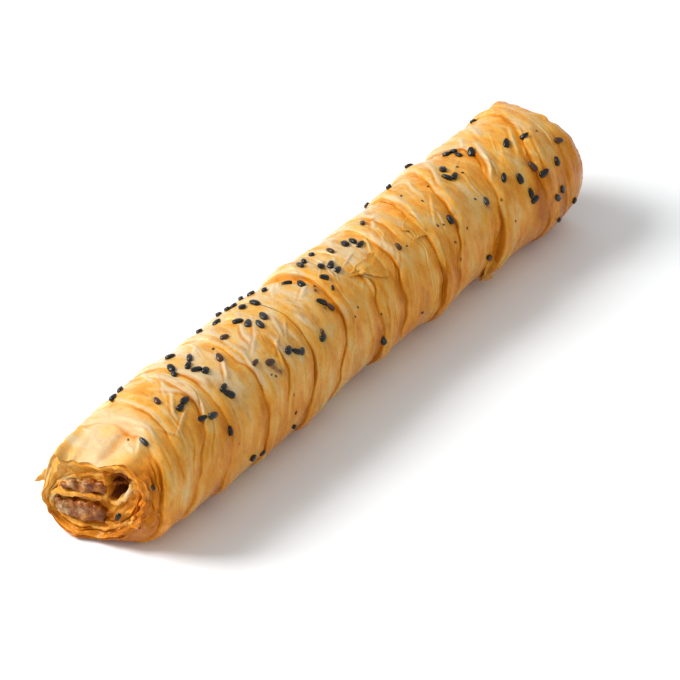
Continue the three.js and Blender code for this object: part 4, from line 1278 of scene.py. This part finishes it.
def black_seed():
    finish = Finish("black_seed")
    grain = finish.noise(1600, 3, 0.6)
    # Grey seeds are lighter: a painted highlight for seeds that show a glint; brown ones are their own
    # colour.
    colour = finish.ramp(finish.plus(finish.mark("shade"), finish.varied(grain, 0.25)), [
        (0.0, (0.004, 0.0035, 0.004)), (0.3, (0.008, 0.0075, 0.009)), (0.52, (0.024, 0.024, 0.027)),
        (0.75, (0.06, 0.03, 0.016)), (1.0, (0.060, 0.022, 0.009)),
    ])
    return finish.coat({
        "Base Color": colour, "Roughness": finish.spread(grain, 0.3, 0.7, 0.16, 0.30),
        "Specular IOR Level": 0.45, "Normal": finish.bumped(grain, 0.0002, 0.6),
    })


filo_finish = baked_filo()
mince_finish = cooked_mince()
seed_finish = black_seed()

near_sheet = outer_sheet("filo_sheet_near", 0.0, OVERLAPS[0] + LAP)
mid_sheet = outer_sheet("filo_sheet_mid", OVERLAPS[0] - LAP_UNDER, OVERLAPS[1] + LAP)
far_sheet = outer_sheet("filo_sheet_far", OVERLAPS[1] - LAP_UNDER, LENGTH)
near_layers = layered_end("near_layers", 0.0, NEAR_MOUTH, NEAR_MIDDLE, facing=-1, seed=71)
far_layers = layered_end("far_layers", LENGTH, FAR_MOUTH, FAR_MIDDLE, facing=1, seed=81)
near_ribbons = inner_filo("near_inner_filo", facing=-1, at=0.0, lift=0.0, slant=FACE_SLANT)
far_ribbons = inner_filo("far_inner_filo", facing=1, at=LENGTH - 1.2, lift=2.6, slant=0.0)
mince = mince_band()
seeds = scatter_seeds()
flake = pointed_flake()
flaps = loose_flaps()

filo_pieces = (
    near_sheet, mid_sheet, far_sheet, near_layers, far_layers, near_ribbons, far_ribbons, flake, flaps,
)
for piece in filo_pieces:
    piece.data.materials.append(filo_finish)
mince.data.materials.append(mince_finish)
seeds.data.materials.append(seed_finish)
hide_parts("pastry")
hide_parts("pastry")
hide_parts("pastry")
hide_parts("filling")
for piece in (*filo_pieces, mince, seeds):
    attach(piece, "root")

# Floor, light and camera.
bpy.ops.object.select_all(action="DESELECT")
bpy.ops.mesh.primitive_plane_add(size=6.0)
floor = bpy.context.object
floor.name = "floor"
floor_finish = Finish("white_floor").coat({"Base Color": (0.90, 0.925, 0.945, 1), "Roughness": 0.9})
floor.data.materials.append(floor_finish)


def soft_light(name, place, size, power, colour):
    bpy.ops.object.light_add(type="AREA", location=place)
    lamp = bpy.context.object
    lamp.name = name
    lamp.data.shape = "SQUARE"
    lamp.data.size = size
    lamp.data.energy = power
    lamp.data.color = colour
    lamp.rotation_euler = (Vector((0, 0, 0.02)) - Vector(place)).to_track_quat("-Z", "Y").to_euler()


soft_light("back_light", (-0.55, 0.78, 0.85), size=0.6, power=20.0, colour=(1.0, 0.99, 0.975))
world = bpy.data.worlds.new("studio")
world.use_nodes = True
sky = world.node_tree.nodes["Background"].inputs
sky["Color"].default_value = (0.99, 0.99, 0.985, 1)
sky["Strength"].default_value = 0.60
bpy.context.scene.world = world
bpy.context.scene.view_settings.view_transform = "Standard"

AZIMUTH, ELEVATION, DISTANCE = math.radians(-53.116), math.radians(35.96), 1.704126
AIM_HEIGHT, AIM_RIGHT, AIM_DOWN = 0.019, 0.005408, 0.006191
level = math.cos(ELEVATION)
look = Vector((-math.sin(AZIMUTH) * level, math.cos(AZIMUTH) * level, -math.sin(ELEVATION)))
right = Vector((math.cos(AZIMUTH), math.sin(AZIMUTH), 0))
aim = Vector((0, 0, AIM_HEIGHT)) + right * AIM_RIGHT - right.cross(look) * AIM_DOWN
bpy.ops.object.camera_add(location=aim - look * DISTANCE)
camera = bpy.context.object
camera.rotation_euler = look.to_track_quat("-Z", "Y").to_euler()
camera.data.sensor_width = 36.0
camera.data.lens = 306.75
camera.data.clip_start = 0.05
bpy.context.scene.camera = camera
